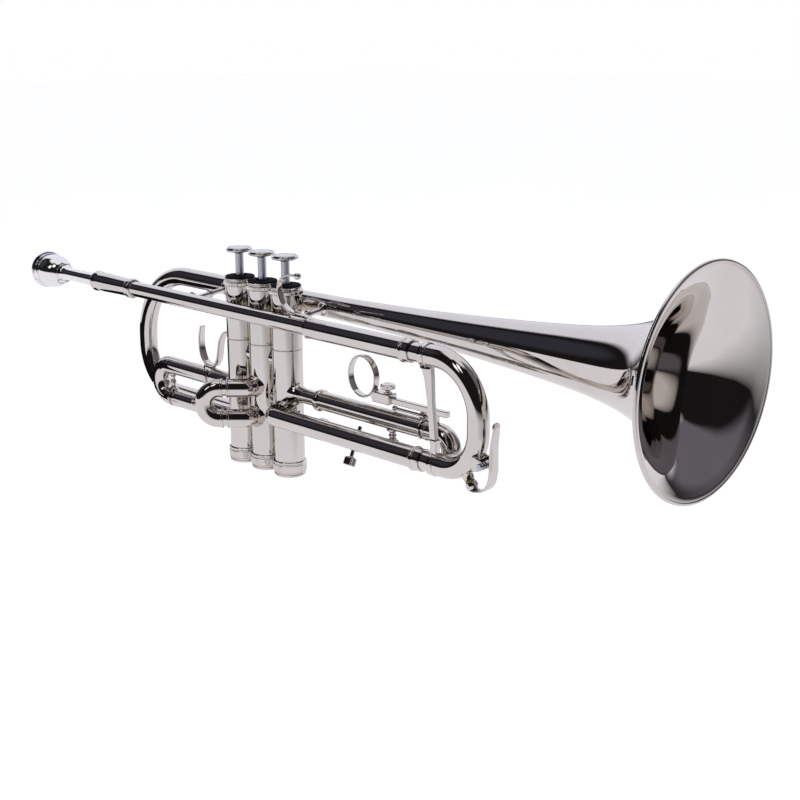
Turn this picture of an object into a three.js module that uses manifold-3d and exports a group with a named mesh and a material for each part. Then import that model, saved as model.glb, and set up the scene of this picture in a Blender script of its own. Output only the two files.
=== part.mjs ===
// A three-valve trumpet, built as separate named pieces.
// Units are millimetres. +X points from the mouthpiece to the bell, +Z up, +Y to the player's left.
// The origin is the middle valve's axis at half the height of its casing.
import * as THREE from 'three';
import { mergeVertices } from 'three/addons/utils/BufferGeometryUtils.js';
import Module from 'manifold-3d';

const wasm = await Module();
wasm.setup();

// ---------------------------------------------------------------- driving dimensions

const GAP = 0.3; // clearance between neighbouring pieces

const TUBE_SIDES = 10;
const VALVE_SIDES = 14;
const BELL_SIDES = 30;
const PIN_SIDES = 8;

// Valve block
const VALVE_PITCH = 22.6;
const VALVE_X = [-VALVE_PITCH, 0, VALVE_PITCH];
const CASING_R = 9.8;
const CASING_LOWER_BORE_R = 8.5;
const CASING_UPPER_BORE_R = 9.1;
const THREAD_R = 9.5;
const SEAM_Z = 21;
const CASING_BOTTOM_Z = -60.4;
const CASING_TOP_Z = 58.9;
const TOP_CAP_Z = 56;
const TOP_CAP_RIM_Z = 59.5;
const TOP_CAP_TOP_Z = 61.7;
const TOP_CAP_R = 10.7;
const TOP_CAP_RIM_R = 9.3;
const BOTTOM_CAP_TOP_Z = -52.4;
const BOTTOM_CAP_Z = -62.6;
const BOTTOM_CAP_R = 10.8;
const PISTON_R = 8.2;
const PISTON_BOTTOM_Z = -36;
const BARREL_R = 7.6;
const BARREL_BORE_R = 6.7;
const BARREL_TOP_Z = 47;
const VALVE_TRAVEL = 15;
const PISTON_TOP_Z = 20.6;
const PASSAGE_Z = [-26, 8]; // cross passages of a piston
const CROSSOVER_Z = 12; // tubes from one casing to the next
const GUIDE_Z = SEAM_Z + GAP;
const GUIDE_THICKNESS = 1.6;
const VALVE_SPRING = { coilR: 5, wireR: 0.45, turns: 4 };
const STEM_R = 2.7;
const BUTTON_Z = 77.4;
const BUTTON_R = 8.5;

// Main tubes
const PIPE_Y = -18; // leadpipe and main tuning slide
const PIPE_Z = 43.1;
const LOWER_Z = -18.7; // lower leg of the main tuning slide
const LEADPIPE_R = 5.15;
const OUTER_R = 6.25;
const OUTER_BORE_R = 5.9;
const LEG_R = 5.5;
const CROOK_R = 6.2;
const AIR_R = 4.9; // air bore of legs and crooks
const MAIN_CROOK_X = 199.3;
const MAIN_TOP_RADIUS = 30;
const MAIN_BOTTOM_RADIUS = 24;
const MAIN_PORT_X = VALVE_X[2] + 3.4;

// Bell side
const BELL_Y = 20;
const BELL_Z = 47.3;
const BELL_RIM_X = 315;
const BELL_TAIL_X = -22;
const BOW_R = 6.4;
const BOW_X = -157.5;
const BOW_Z = -40;
const BOW_PORT_X = -24.6;

// Valve slides
const SLIDE_R = 5.9;
const SLIDE_BORE_R = 5.55;
const SLIDE_LEG_R = 5.15;
const SLIDE_AIR_R = 4.6;
const FIRST_Z = [-11.8, -34.8];
const SECOND_Z = [-6.5, -26.6];
const THIRD_Z = [-7.4, -25.9];

// ---------------------------------------------------------------- materials

const plated = { roughness: 0.08, metalness: 1 };
const finishes = {
  nickel: new THREE.MeshStandardMaterial({ color: 0xd9d5cf, ...plated }),
  silver: new THREE.MeshStandardMaterial({ color: 0xdfe1e6, ...plated }),
  steel: new THREE.MeshStandardMaterial({ color: 0xa9adb8, roughness: 0.3, metalness: 1 }),
  piston: new THREE.MeshStandardMaterial({ color: 0xc4c2bd, roughness: 0.25, metalness: 1 }),
  pearl: new THREE.MeshStandardMaterial({ color: 0xeeece8, roughness: 0.2, metalness: 0 }),
  cork: new THREE.MeshStandardMaterial({ color: 0xb98a5b, roughness: 0.9, metalness: 0 }),
};

// ---------------------------------------------------------------- helpers

const vec = (x, y, z) => new THREE.Vector3(x, y, z);

const SIDES = ['upper', 'lower'];

const trumpet = new THREE.Group();

function addPart(name, geometry, finish) {
  const mesh = new THREE.Mesh(geometry, finishes[finish].clone());
  mesh.name = name;
  trumpet.add(mesh);
}

// A closed geometry as a manifold solid: positions only, merged, without needle triangles.
function solid(geometry) {
  const bare = geometry.clone();
  bare.deleteAttribute('normal');
  bare.deleteAttribute('uv');
  const merged = mergeVertices(bare, 1e-4);
  const index = merged.index.array;
  const triangles = [];
  for (let i = 0; i < index.length; i += 3) {
    const [a, b, c] = [index[i], index[i + 1], index[i + 2]];
    if (a !== b && b !== c && c !== a) triangles.push(a, b, c);
  }
  return new wasm.Manifold(new wasm.Mesh({
    numProp: 3,
    vertProperties: new Float32Array(merged.attributes.position.array),
    triVerts: new Uint32Array(triangles),
  }));
}

function toGeometry(manifold) {
  const mesh = manifold.getMesh();
  const geometry = new THREE.BufferGeometry();
  geometry.setAttribute('position', new THREE.BufferAttribute(mesh.vertProperties, 3));
  geometry.setIndex(new THREE.BufferAttribute(mesh.triVerts, 1));
  return geometry;
}

function join(...geometries) {
  return toGeometry(geometries.map(solid).reduce((whole, piece) => whole.add(piece)));
}

function cut(geometry, ...cutters) {
  return toGeometry(cutters.map(solid).reduce((whole, cutter) => whole.subtract(cutter), solid(geometry)));
}

function keepInside(geometry, keeper) {
  return toGeometry(solid(geometry).intersect(solid(keeper)));
}

const AXIS_TURN = {
  x: (g) => g.rotateZ(-Math.PI / 2),
  y: (g) => g,
  z: (g) => g.rotateX(Math.PI / 2),
};

// A turned shape: profile points are [radius, distance along the axis].
function turned(axis, profile, sides, [x, y, z] = [0, 0, 0]) {
  const points = profile.map(([r, h]) => new THREE.Vector2(r, h));
  const flat = new THREE.LatheGeometry(points, sides);
  return AXIS_TURN[axis](flat).translate(x, y, z);
}

// A straight round bar or sleeve from a to b along an axis.
function bar(axis, a, b, radius, place, sides = TUBE_SIDES) {
  return turned(axis, [[0, a], [radius, a], [radius, b], [0, b]], sides, place);
}

function sleeve(axis, a, b, radius, bore, place, sides = TUBE_SIDES) {
  const profile = [[bore, a], [radius, a], [radius, b], [bore, b], [bore, a]];
  return turned(axis, profile, sides, place);
}

// A path through corner points with each inner corner rounded by an arc.
// Each corner is [point, radius]; the ends have no radius.
class RoundedPath extends THREE.Curve {
  constructor(corners, arcSteps = 6) {
    super();
    this.stations = [];
    const last = corners.length - 1;
    corners.forEach(([point, radius], i) => {
      if (i === 0) {
        const heading = corners[1][0].clone().sub(point).normalize();
        this.stations.push({ point, heading });
      } else if (i === last) {
        const heading = point.clone().sub(corners[i - 1][0]).normalize();
        this.stations.push({ point, heading });
      } else {
        this.addArc(corners[i - 1][0], point, corners[i + 1][0], radius, arcSteps);
      }
    });
  }

  addArc(before, corner, after, radius, arcSteps) {
    const arriving = corner.clone().sub(before).normalize();
    const leaving = after.clone().sub(corner).normalize();
    const turn = arriving.angleTo(leaving);
    const inward = leaving.clone().addScaledVector(arriving, -leaving.dot(arriving)).normalize();
    const start = corner.clone().addScaledVector(arriving, -radius * Math.tan(turn / 2));
    const centre = start.clone().addScaledVector(inward, radius);
    for (let i = 0; i <= arcSteps; i++) {
      const angle = (turn * i) / arcSteps;
      const point = centre.clone()
        .addScaledVector(inward, -radius * Math.cos(angle))
        .addScaledVector(arriving, radius * Math.sin(angle));
      const heading = arriving.clone().multiplyScalar(Math.cos(angle))
        .addScaledVector(inward, Math.sin(angle));
      this.stations.push({ point, heading });
    }
  }

  get steps() {
    return this.stations.length - 1;
  }

  getPointAt(u) {
    return this.stations[Math.round(u * this.steps)].point.clone();
  }

  getTangentAt(u) {
    return this.stations[Math.round(u * this.steps)].heading.clone();
  }
}

function ringPoints(radius, sides) {
  return Array.from({ length: sides }, (_, i) => {
    const angle = (i / sides) * 2 * Math.PI;
    return new THREE.Vector2(radius * Math.cos(angle), radius * Math.sin(angle));
  });
}

function along(path, section) {
  const options = { extrudePath: path, steps: path.steps, bevelEnabled: false };
  return new THREE.ExtrudeGeometry(section, options);
}

// A bent tube: solid when bore is 0.
function bentTube(corners, radius, bore, arcSteps, sides = TUBE_SIDES) {
  const section = new THREE.Shape(ringPoints(radius, sides));
  if (bore > 0) section.holes.push(new THREE.Path(ringPoints(bore, sides)));
  return along(new RoundedPath(corners, arcSteps), section);
}

// A flat strip bent in the XZ plane, centred on y.
function bentStrip(corners, y, width, thickness, arcSteps) {
  const half = { w: width / 2, t: thickness / 2 };
  const path = new RoundedPath(corners.map(([[x, z], r]) => [vec(x, y, z), r]), arcSteps);
  const outline = [];
  path.stations.forEach(({ point, heading }) => {
    outline.push(new THREE.Vector2(point.x - heading.z * half.t, point.z + heading.x * half.t));
  });
  [...path.stations].reverse().forEach(({ point, heading }) => {
    outline.push(new THREE.Vector2(point.x + heading.z * half.t, point.z - heading.x * half.t));
  });
  return plate(outline.map((p) => [p.x, p.y]), y, width);
}

// A plate with its outline in the XZ plane and its thickness centred on y.
function plate(outline, y, thickness) {
  const shape = new THREE.Shape(outline.map(([x, z]) => new THREE.Vector2(x, z)));
  const geometry = new THREE.ExtrudeGeometry(shape, { depth: thickness, bevelEnabled: false });
  return geometry.rotateX(Math.PI / 2).translate(0, y + thickness / 2, 0);
}

function block(sizes, [x, y, z]) {
  return new THREE.BoxGeometry(...sizes).translate(x, y, z);
}

// The room that a casing takes up, as a cutter for what is brazed to it.
function casingRoom(valve) {
  return bar('z', -80, 80, CASING_R + GAP, [VALVE_X[valve], 0, 0], VALVE_SIDES);
}

// ---------------------------------------------------------------- mouthpiece and leadpipe

function buildMouthpiece() {
  const rim = -230.7;
  const profile = [
    [4.0, rim + 84], [1.85, rim + 26], [1.85, rim + 14], [5.4, rim + 10], [7.9, rim + 4],
    [8.4, rim + 1], [9.6, rim], [12.6, rim], [13.4, rim + 1.2], [13.4, rim + 3.2],
    [12.4, rim + 5.5], [12.7, rim + 10], [12.0, rim + 16], [9.6, rim + 21.5], [6.6, rim + 25.5],
    [5.2, rim + 28], [4.4, rim + 31], [4.4, rim + 50], [4.75, rim + 66], [4.3, rim + 84],
    [4.0, rim + 84],
  ];
  addPart('mouthpiece', turned('x', profile, VALVE_SIDES, [0, PIPE_Y, PIPE_Z]), 'silver');
}

function buildReceiver() {
  const from = -163;
  const to = -115.8;
  const profile = [
    [5.1, from], [5.5, from], [6.3, from + 2.5], [6.6, from + 6], [6.5, from + 14],
    [6.0, to - 5.2], [6.7, to - 4.4], [6.7, to - 0.8], [6.2, to],
    [LEADPIPE_R + GAP, to], [LEADPIPE_R + GAP, -143.5], [4.7, -144.5], [5.1, from],
  ];
  addPart('mouthpiece_receiver', turned('x', profile, TUBE_SIDES, [0, PIPE_Y, PIPE_Z]), 'nickel');
}

function buildLeadpipe() {
  const pipe = sleeve('x', -143, 73, LEADPIPE_R, 4.4, [0, PIPE_Y, PIPE_Z]);
  addPart('leadpipe', pipe, 'nickel');
}

// A hook for the little finger: an oval foot on the leadpipe and a strip that curls forward.
function buildPinkyHook() {
  const y = PIPE_Y + 0.5;
  const foot = block([18, 5.6, 3.4], [55, y, PIPE_Z + 5.3]);
  const room = bar('x', 40, 70, LEADPIPE_R + GAP, [0, PIPE_Y, PIPE_Z], VALVE_SIDES);
  const curl = bentStrip([
    [[58, PIPE_Z + 6.6]], [[42.5, PIPE_Z + 6.6], 6], [[36.6, 61], 7], [[41, 70.5], 7], [[53.5, 73]],
  ], y, 4.4, 1.6, 3);
  const ball = new THREE.SphereGeometry(2, PIN_SIDES, 6).translate(54.3, y, 73);
  addPart('pinky_hook', join(cut(foot, room), curl, ball), 'nickel');
}

// ---------------------------------------------------------------- main tuning slide

const MAIN_RING = { upper: [144, 151], lower: [152, 159.5] };
const MAIN_BAND = { upper: [158.8, 163.4], lower: [166, 170.5] };

function slideRing([from, to], radius, bore, place) {
  const profile = [
    [bore, from], [OUTER_R, from], [radius, from + 2], [radius, to - 0.8],
    [radius - 0.5, to], [bore, to], [bore, from],
  ];
  return turned('x', profile, TUBE_SIDES, place);
}

function buildMainOuterTubes() {
  const [ringFrom, ringTo] = MAIN_RING.upper;
  const upper = [
    [LEADPIPE_R + GAP, 64.4], [6.5, 64.4], [6.5, 66], [OUTER_R, 66.3], [OUTER_R, ringFrom],
    [7.3, ringFrom + 2], [7.3, ringTo - 0.8], [6.8, ringTo], [OUTER_BORE_R, ringTo],
    [OUTER_BORE_R, 76], [LEADPIPE_R + GAP, 75], [LEADPIPE_R + GAP, 64.4],
  ];
  const upperTube = turned('x', upper, TUBE_SIDES, [0, PIPE_Y, PIPE_Z]);
  addPart('main_slide_upper_outer_tube', upperTube, 'nickel');

  const ring = slideRing(MAIN_RING.lower, 7.3, OUTER_BORE_R, [0, PIPE_Y, LOWER_Z]);
  const tube = bentTube([
    [vec(MAIN_PORT_X, -3, LOWER_Z)], [vec(MAIN_PORT_X, PIPE_Y, LOWER_Z), 7.2],
    [vec(155, PIPE_Y, LOWER_Z)],
  ], OUTER_R, OUTER_BORE_R, 4);
  const bore = bar('x', 140, 170, OUTER_BORE_R, [0, PIPE_Y, LOWER_Z]);
  const room = casingRoom(2);
  addPart('main_slide_lower_outer_tube', cut(join(tube, cut(ring, bore)), room), 'nickel');
}

function buildMainCrook() {
  const crook = bentTube([
    [vec(MAIN_BAND.upper[0], PIPE_Y, PIPE_Z)],
    [vec(MAIN_CROOK_X, PIPE_Y, PIPE_Z), MAIN_TOP_RADIUS],
    [vec(MAIN_CROOK_X, PIPE_Y, LOWER_Z), MAIN_BOTTOM_RADIUS],
    [vec(MAIN_BAND.lower[0], PIPE_Y, LOWER_Z)],
  ], CROOK_R, AIR_R, 5);
  const pieces = [crook];
  const legStart = 96;
  [['upper', PIPE_Z], ['lower', LOWER_Z]].forEach(([side, z]) => {
    const [from, to] = MAIN_BAND[side];
    pieces.push(sleeve('x', legStart, from + 1, LEG_R, AIR_R, [0, PIPE_Y, z]));
    pieces.push(sleeve('x', from, to, CROOK_R + 0.4, AIR_R + 0.5, [0, PIPE_Y, z]));
  });
  pieces.push(radialPiece([[0, 29.1], [3.2, 29.1], [3.2, 32.6], [0, 32.6]], PIN_SIDES));
  const drain = radialPiece([[0, 25], [1.6, 25], [1.6, 40], [0, 40]], 6);
  addPart('main_slide_crook', cut(join(...pieces), drain), 'nickel');
}

// A tapered flat bar that keeps the two legs of the crook apart.
function buildMainBrace() {
  const top = PIPE_Z - CROOK_R - 0.4 - GAP;
  const outline = [
    [165.8, -14.5], [170, -14.5], [170, -6], [168.6, -5], [166.6, 18], [165.6, top + 1],
    [157.4, top + 1], [160.2, 30], [162.4, 18], [164.2, -5], [165.8, -6],
  ];
  const room = ['upper', 'lower'].map((side, i) => {
    const z = [PIPE_Z, LOWER_Z][i];
    return bar('x', 150, 176, CROOK_R + 0.4 + GAP, [0, PIPE_Y, z], VALVE_SIDES);
  });
  addPart('main_slide_brace', cut(plate(outline, PIPE_Y, 3), ...room), 'nickel');
}

// ---------------------------------------------------------------- water key

const KEY_PIVOT = [205.9, -10.1];
const NIPPLE_ANGLE = -0.98; // direction of the nipple from the centre of the crook's lower arc
const NIPPLE_CENTRE = [MAIN_CROOK_X - MAIN_BOTTOM_RADIUS, LOWER_Z + MAIN_BOTTOM_RADIUS];
const KEY_PIN_R = 1.0;
const KEY_SPRING = { coilR: 1.95, wireR: 0.35, turns: 2, pitch: 0.8, y: PIPE_Y - 4.6, tail: 7 };

// A turned piece whose axis points out of the crook's lower arc, in the XZ plane.
function radialPiece(profile, sides) {
  const flat = turned('x', profile, sides);
  const [x, z] = NIPPLE_CENTRE;
  return flat.rotateY(-NIPPLE_ANGLE).translate(x, PIPE_Y, z);
}

function buildWaterKey() {
  const [px, pz] = KEY_PIVOT;
  const crookRoom = bentTube([
    [vec(MAIN_CROOK_X, PIPE_Y, 40)], [vec(MAIN_CROOK_X, PIPE_Y, LOWER_Z), MAIN_BOTTOM_RADIUS],
    [vec(150, PIPE_Y, LOWER_Z)],
  ], CROOK_R + GAP, 0, 8, VALVE_SIDES);

  const cheeks = [PIPE_Y - 5.8, PIPE_Y + 3.6].map((y) => plate([
    [px - 6, pz - 3.5], [px + 1, pz - 2.4], [px + 2.4, pz], [px + 1, pz + 2.4], [px - 6, pz + 4.5],
  ], y, 1.2));
  const base = block([3.2, 10.6, 8], [px - 4.6, PIPE_Y - 1.1, pz + 0.5]);
  const hingeHole = bar('y', -40, 0, KEY_PIN_R + GAP, [px, 0, pz], PIN_SIDES);
  const saddle = cut(join(base, ...cheeks), crookRoom, hingeHole);
  addPart('water_key_saddle', saddle, 'nickel');

  const pin = bar('y', PIPE_Y - 6.9, PIPE_Y + 4.7, KEY_PIN_R, [px, 0, pz], PIN_SIDES);
  addPart('water_key_pin', pin, 'steel');

  const strip = bentStrip([
    [[211.6, 12.6]], [[210.2, 2], 12], [[210.2, -19], 8], [[204, -27.4], 6], [[195, -27.6]],
  ], PIPE_Y - 0.2, 5.6, 1.3, 3);
  const boss = bar('y', PIPE_Y - 2.1, PIPE_Y + 2.7, 2.3, [px, 0, pz], PIN_SIDES);
  const web = block([4.6, 3.4, 3.6], [px + 2.6, PIPE_Y + 0.3, pz]);
  const cup = radialPiece([[0, 36.4], [3.6, 36.4], [3.6, 38.6], [0, 38.6]], PIN_SIDES);
  addPart('water_key_lever', cut(join(strip, boss, web, cup), hingeHole), 'nickel');

  const cork = radialPiece([[0, 32.9], [3.2, 32.9], [3.2, 36.1], [0, 36.1]], PIN_SIDES);
  addPart('water_key_cork', cork, 'cork');

  addPart('water_key_spring', waterKeySpring(), 'steel');
}

// Wire wound around the hinge pin, with a tail that lies along the crook.
function waterKeySpring() {
  const [px, pz] = KEY_PIVOT;
  const { coilR, wireR, turns, pitch, y, tail } = KEY_SPRING;
  const tailEnd = vec(px - coilR + 2 * wireR, y, pz + tail);
  const coil = helix(turns, (angle, share) => vec(
    px - coilR * Math.cos(angle), y + pitch * turns * share, pz - coilR * Math.sin(angle),
  ));
  return wire([tailEnd, ...coil], wireR, 5);
}

// Points of a helix: place(angle, share of the whole) gives each one.
function helix(turns, place) {
  const stepsPerTurn = 8;
  const steps = turns * stepsPerTurn;
  return Array.from({ length: steps + 1 }, (_, i) =>
    place((i / stepsPerTurn) * 2 * Math.PI, i / steps));
}

// A round wire through the points, one section at each point.
function wire(points, radius, sides) {
  const path = new RoundedPath([[points[0]], [points[points.length - 1]]]);
  path.stations = points.map((point, i) => {
    const before = points[Math.max(i - 1, 0)];
    const after = points[Math.min(i + 1, points.length - 1)];
    return { point, heading: after.clone().sub(before).normalize() };
  });
  return along(path, new THREE.Shape(ringPoints(radius, sides)));
}

// ---------------------------------------------------------------- valves

// Ports in the casings. Each is bored from the valve's axis outwards, along x or y, at height z.
const PORT_R = 4.2;
const PORT_REACH = 12;
const PORTS = [
  { valve: 0, axis: 'x', side: -1, z: FIRST_Z[0] },
  { valve: 0, axis: 'x', side: -1, z: FIRST_Z[1] },
  { valve: 0, axis: 'x', side: 1, z: CROSSOVER_Z },
  { valve: 0, axis: 'y', side: 1, z: BOW_Z, shift: BOW_PORT_X - VALVE_X[0] },
  { valve: 1, axis: 'y', side: -1, z: SECOND_Z[0] },
  { valve: 1, axis: 'y', side: -1, z: SECOND_Z[1] },
  { valve: 2, axis: 'y', side: -1, z: LOWER_Z, shift: MAIN_PORT_X - VALVE_X[2] },
  { valve: 2, axis: 'x', side: -1, z: CROSSOVER_Z },
  { valve: 2, axis: 'x', side: 1, z: THIRD_Z[0] },
  { valve: 2, axis: 'x', side: 1, z: THIRD_Z[1] },
];

function portHoles(valve) {
  return PORTS.filter((port) => port.valve === valve).map(({ axis, side, z, shift = 0 }) => {
    const [from, to] = side < 0 ? [-PORT_REACH, 0] : [0, PORT_REACH];
    return bar(axis, from, to, PORT_R, [VALVE_X[valve] + shift, 0, z], PIN_SIDES);
  });
}

function casing(valve) {
  const profile = [
    [CASING_LOWER_BORE_R, CASING_BOTTOM_Z], [THREAD_R, CASING_BOTTOM_Z],
    [THREAD_R, BOTTOM_CAP_TOP_Z + GAP], [CASING_R, BOTTOM_CAP_TOP_Z + GAP],
    [CASING_R, TOP_CAP_Z - GAP], [THREAD_R, TOP_CAP_Z - GAP],
    [THREAD_R, CASING_TOP_Z], [CASING_UPPER_BORE_R, CASING_TOP_Z], [CASING_UPPER_BORE_R, SEAM_Z],
    [CASING_LOWER_BORE_R, SEAM_Z], [CASING_LOWER_BORE_R, CASING_BOTTOM_Z],
  ];
  return turned('z', profile, VALVE_SIDES, [VALVE_X[valve], 0, 0]);
}

function buildCasings() {
  VALVE_X.forEach((_, valve) => {
    addPart(`valve_${valve + 1}_casing`, casingWithPorts(valve), 'nickel');
  });
}

// The crossover tubes and spacers that the middle casing carries between its two neighbours.
function casingLinks() {
  const bore = bar('z', -70, 70, CASING_R - 0.4, [0, 0, 0], VALVE_SIDES);
  return [[CROSSOVER_Z, 4.9], [-13, 4.9], [-45, 2.4]].map(([z, radius]) => {
    const link = bar('x', -VALVE_PITCH, VALVE_PITCH, radius, [0, 0, z], PIN_SIDES);
    return cut(link, bore, casingRoom(0), casingRoom(2));
  });
}

function casingWithPorts(valve) {
  const holes = portHoles(valve);
  if (valve !== 1) return cut(casing(valve), ...holes);
  const crossover = bar('x', -VALVE_PITCH, VALVE_PITCH, PORT_R - 0.6, [0, 0, CROSSOVER_Z], PIN_SIDES);
  return cut(join(casing(valve), ...casingLinks()), crossover, ...holes);
}

function topCap(valve) {
  const holeR = STEM_R + 0.5;
  const profile = [
    [holeR, CASING_TOP_Z + GAP], [THREAD_R + GAP, CASING_TOP_Z + GAP], [THREAD_R + GAP, TOP_CAP_Z],
    [TOP_CAP_R, TOP_CAP_Z], [TOP_CAP_R, TOP_CAP_RIM_Z], [TOP_CAP_RIM_R, TOP_CAP_RIM_Z + 0.2],
    [TOP_CAP_RIM_R, TOP_CAP_TOP_Z], [holeR, TOP_CAP_TOP_Z], [holeR, CASING_TOP_Z + GAP],
  ];
  return turned('z', profile, VALVE_SIDES, [VALVE_X[valve], 0, 0]);
}

function bottomCap(valve) {
  const floor = CASING_BOTTOM_Z - GAP;
  const profile = [
    [1.5, BOTTOM_CAP_Z], [BOTTOM_CAP_R - 0.9, BOTTOM_CAP_Z], [BOTTOM_CAP_R, BOTTOM_CAP_Z + 1],
    [BOTTOM_CAP_R, BOTTOM_CAP_TOP_Z],
    [THREAD_R + GAP, BOTTOM_CAP_TOP_Z], [THREAD_R + GAP, floor], [1.5, floor], [1.5, BOTTOM_CAP_Z],
  ];
  return turned('z', profile, VALVE_SIDES, [VALVE_X[valve], 0, 0]);
}

// The piston: a hollow body with cross passages below, and a slotted spring barrel above.
function piston(valve) {
  const wallR = PISTON_R - 1;
  const roofZ = BARREL_TOP_Z - 1.4;
  const body = turned('z', [
    [0, 17], [wallR, 17], [wallR, PISTON_BOTTOM_Z], [PISTON_R, PISTON_BOTTOM_Z],
    [PISTON_R, PISTON_TOP_Z], [BARREL_R, PISTON_TOP_Z], [BARREL_R, BARREL_TOP_Z],
    [2.2, BARREL_TOP_Z], [2.2, roofZ], [BARREL_BORE_R, roofZ], [BARREL_BORE_R, PISTON_TOP_Z],
    [0, PISTON_TOP_Z],
  ], VALVE_SIDES);
  const slotLow = PISTON_TOP_Z + GAP;
  const slotTop = GUIDE_Z + GUIDE_THICKNESS + VALVE_TRAVEL + 1;
  const slot = block([24, 4.6, slotTop - slotLow], [0, 0, (slotTop + slotLow) / 2]);
  const outside = bar('z', PISTON_BOTTOM_Z, PISTON_TOP_Z - 1, PISTON_R, [0, 0, 0], VALVE_SIDES);
  const passages = PASSAGE_Z.map((z) => keepInside(bar('x', -9, 9, 4.2, [0, 0, z], 6), outside));
  const airways = PASSAGE_Z.map((z) => bar('x', -9, 9, 3.2, [0, 0, z], 6));
  const hollow = cut(join(body, ...passages), slot, ...airways);
  return hollow.translate(VALVE_X[valve], 0, 0);
}

// A disc with two wings that pass through the barrel's slots and rest on the casing's step.
function guide(valve) {
  const top = GUIDE_Z + GUIDE_THICKNESS;
  const wings = keepInside(
    block([20, 4, GUIDE_THICKNESS], [0, 0, (GUIDE_Z + top) / 2]),
    bar('z', GUIDE_Z - 1, top + 1, CASING_UPPER_BORE_R - GAP, [0, 0, 0], VALVE_SIDES),
  );
  const disc = bar('z', GUIDE_Z, top, BARREL_BORE_R - 0.5, [0, 0, 0]);
  const hole = bar('z', GUIDE_Z - 1, top + 1, 2.4, [0, 0, 0], PIN_SIDES);
  return cut(join(wings, disc), hole).translate(VALVE_X[valve], 0, 0);
}

function spring(valve) {
  const { coilR, wireR, turns } = VALVE_SPRING;
  const from = GUIDE_Z + GUIDE_THICKNESS + GAP + wireR;
  const to = BARREL_TOP_Z - 1.4 - GAP - wireR;
  const points = helix(turns, (angle, share) => vec(
    VALVE_X[valve] + coilR * Math.cos(angle), coilR * Math.sin(angle), from + (to - from) * share,
  ));
  return wire(points, wireR, 4);
}

function stem(valve) {
  const profile = [
    [0, BARREL_TOP_Z - 1.2], [1.8, BARREL_TOP_Z - 1.2], [1.8, BARREL_TOP_Z + GAP],
    [STEM_R, BARREL_TOP_Z + GAP], [STEM_R, BUTTON_Z - GAP], [0, BUTTON_Z - GAP],
  ];
  return turned('z', profile, TUBE_SIDES, [VALVE_X[valve], 0, 0]);
}

function button(valve) {
  const profile = [
    [0, BUTTON_Z], [7.6, BUTTON_Z], [BUTTON_R, BUTTON_Z + 1.4], [BUTTON_R - 0.8, BUTTON_Z + 2.7],
    [7.1, BUTTON_Z + 2.7], [7.1, BUTTON_Z + 1.6], [0, BUTTON_Z + 1.6],
  ];
  return turned('z', profile, VALVE_SIDES, [VALVE_X[valve], 0, 0]);
}

function pearl(valve) {
  const low = BUTTON_Z + 1.9;
  const profile = [[0, low], [6.8, low], [6.2, low + 1.2], [0, low + 1.2]];
  return turned('z', profile, VALVE_SIDES, [VALVE_X[valve], 0, 0]);
}

function buildValves() {
  buildCasings();
  VALVE_X.forEach((_, valve) => {
    const name = `valve_${valve + 1}`;
    addPart(`${name}_top_cap`, topCap(valve), 'nickel');
    addPart(`${name}_bottom_cap`, bottomCap(valve), 'nickel');
    addPart(`${name}_piston`, piston(valve), 'piston');
    addPart(`${name}_guide`, guide(valve), 'piston');
    addPart(`${name}_spring`, spring(valve), 'steel');
    addPart(`${name}_stem`, stem(valve), 'steel');
    addPart(`${name}_button`, button(valve), 'nickel');
    addPart(`${name}_pearl`, pearl(valve), 'pearl');
  });
}

// ---------------------------------------------------------------- bell

// Outer radius of the bell along its axis.
const BELL_CURVE = [
  [BELL_TAIL_X, 6.4], [60, 7.5], [110, 9.1], [150, 11.0], [188, 13.5], [220, 16.0], [245, 18.6],
  [266, 22.4], [282, 27.6], [295, 34.6], [304, 42.6], [310, 50.6], [313, 57.6],
];
const BELL_WALL = 0.9;

function buildBell() {
  const wall = BELL_CURVE.map(([x, r], i) => {
    const [x0, r0] = BELL_CURVE[Math.max(i - 1, 0)];
    const [x1, r1] = BELL_CURVE[Math.min(i + 1, BELL_CURVE.length - 1)];
    const length = Math.hypot(x1 - x0, r1 - r0);
    const inward = { x: (r1 - r0) / length, r: -(x1 - x0) / length };
    return [r + inward.r * BELL_WALL, i === 0 ? x : x + inward.x * BELL_WALL];
  });
  const bead = [
    [60.2, BELL_RIM_X - 2.2], [61.4, BELL_RIM_X - 1.8], [61.7, BELL_RIM_X - 0.8],
    [61.5, BELL_RIM_X], [59.4, BELL_RIM_X],
  ];
  const outside = BELL_CURVE.map(([x, r]) => [r, x]);
  const profile = [...outside, ...bead, ...wall.reverse(), outside[0]];
  addPart('bell', turned('x', profile, BELL_SIDES, [0, BELL_Y, BELL_Z]), 'nickel');
}

function buildBellBow() {
  const bow = bentTube([
    [vec(BELL_TAIL_X - GAP, BELL_Y, BELL_Z)],
    [vec(BOW_X, BELL_Y, BELL_Z), 50],
    [vec(BOW_X, BELL_Y, BOW_Z), 32],
    [vec(BOW_PORT_X, BELL_Y, BOW_Z), 8],
    [vec(BOW_PORT_X, 5, BOW_Z)],
  ], BOW_R, 5.5, 4);
  addPart('bell_bow', cut(bow, casingRoom(0)), 'nickel');

  const ferrule = sleeve('x', -31, -15, BOW_R + GAP + 0.5, BOW_R + GAP + 0.1, [0, BELL_Y, BELL_Z]);
  addPart('bell_bow_ferrule', ferrule, 'nickel');
}

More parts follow.
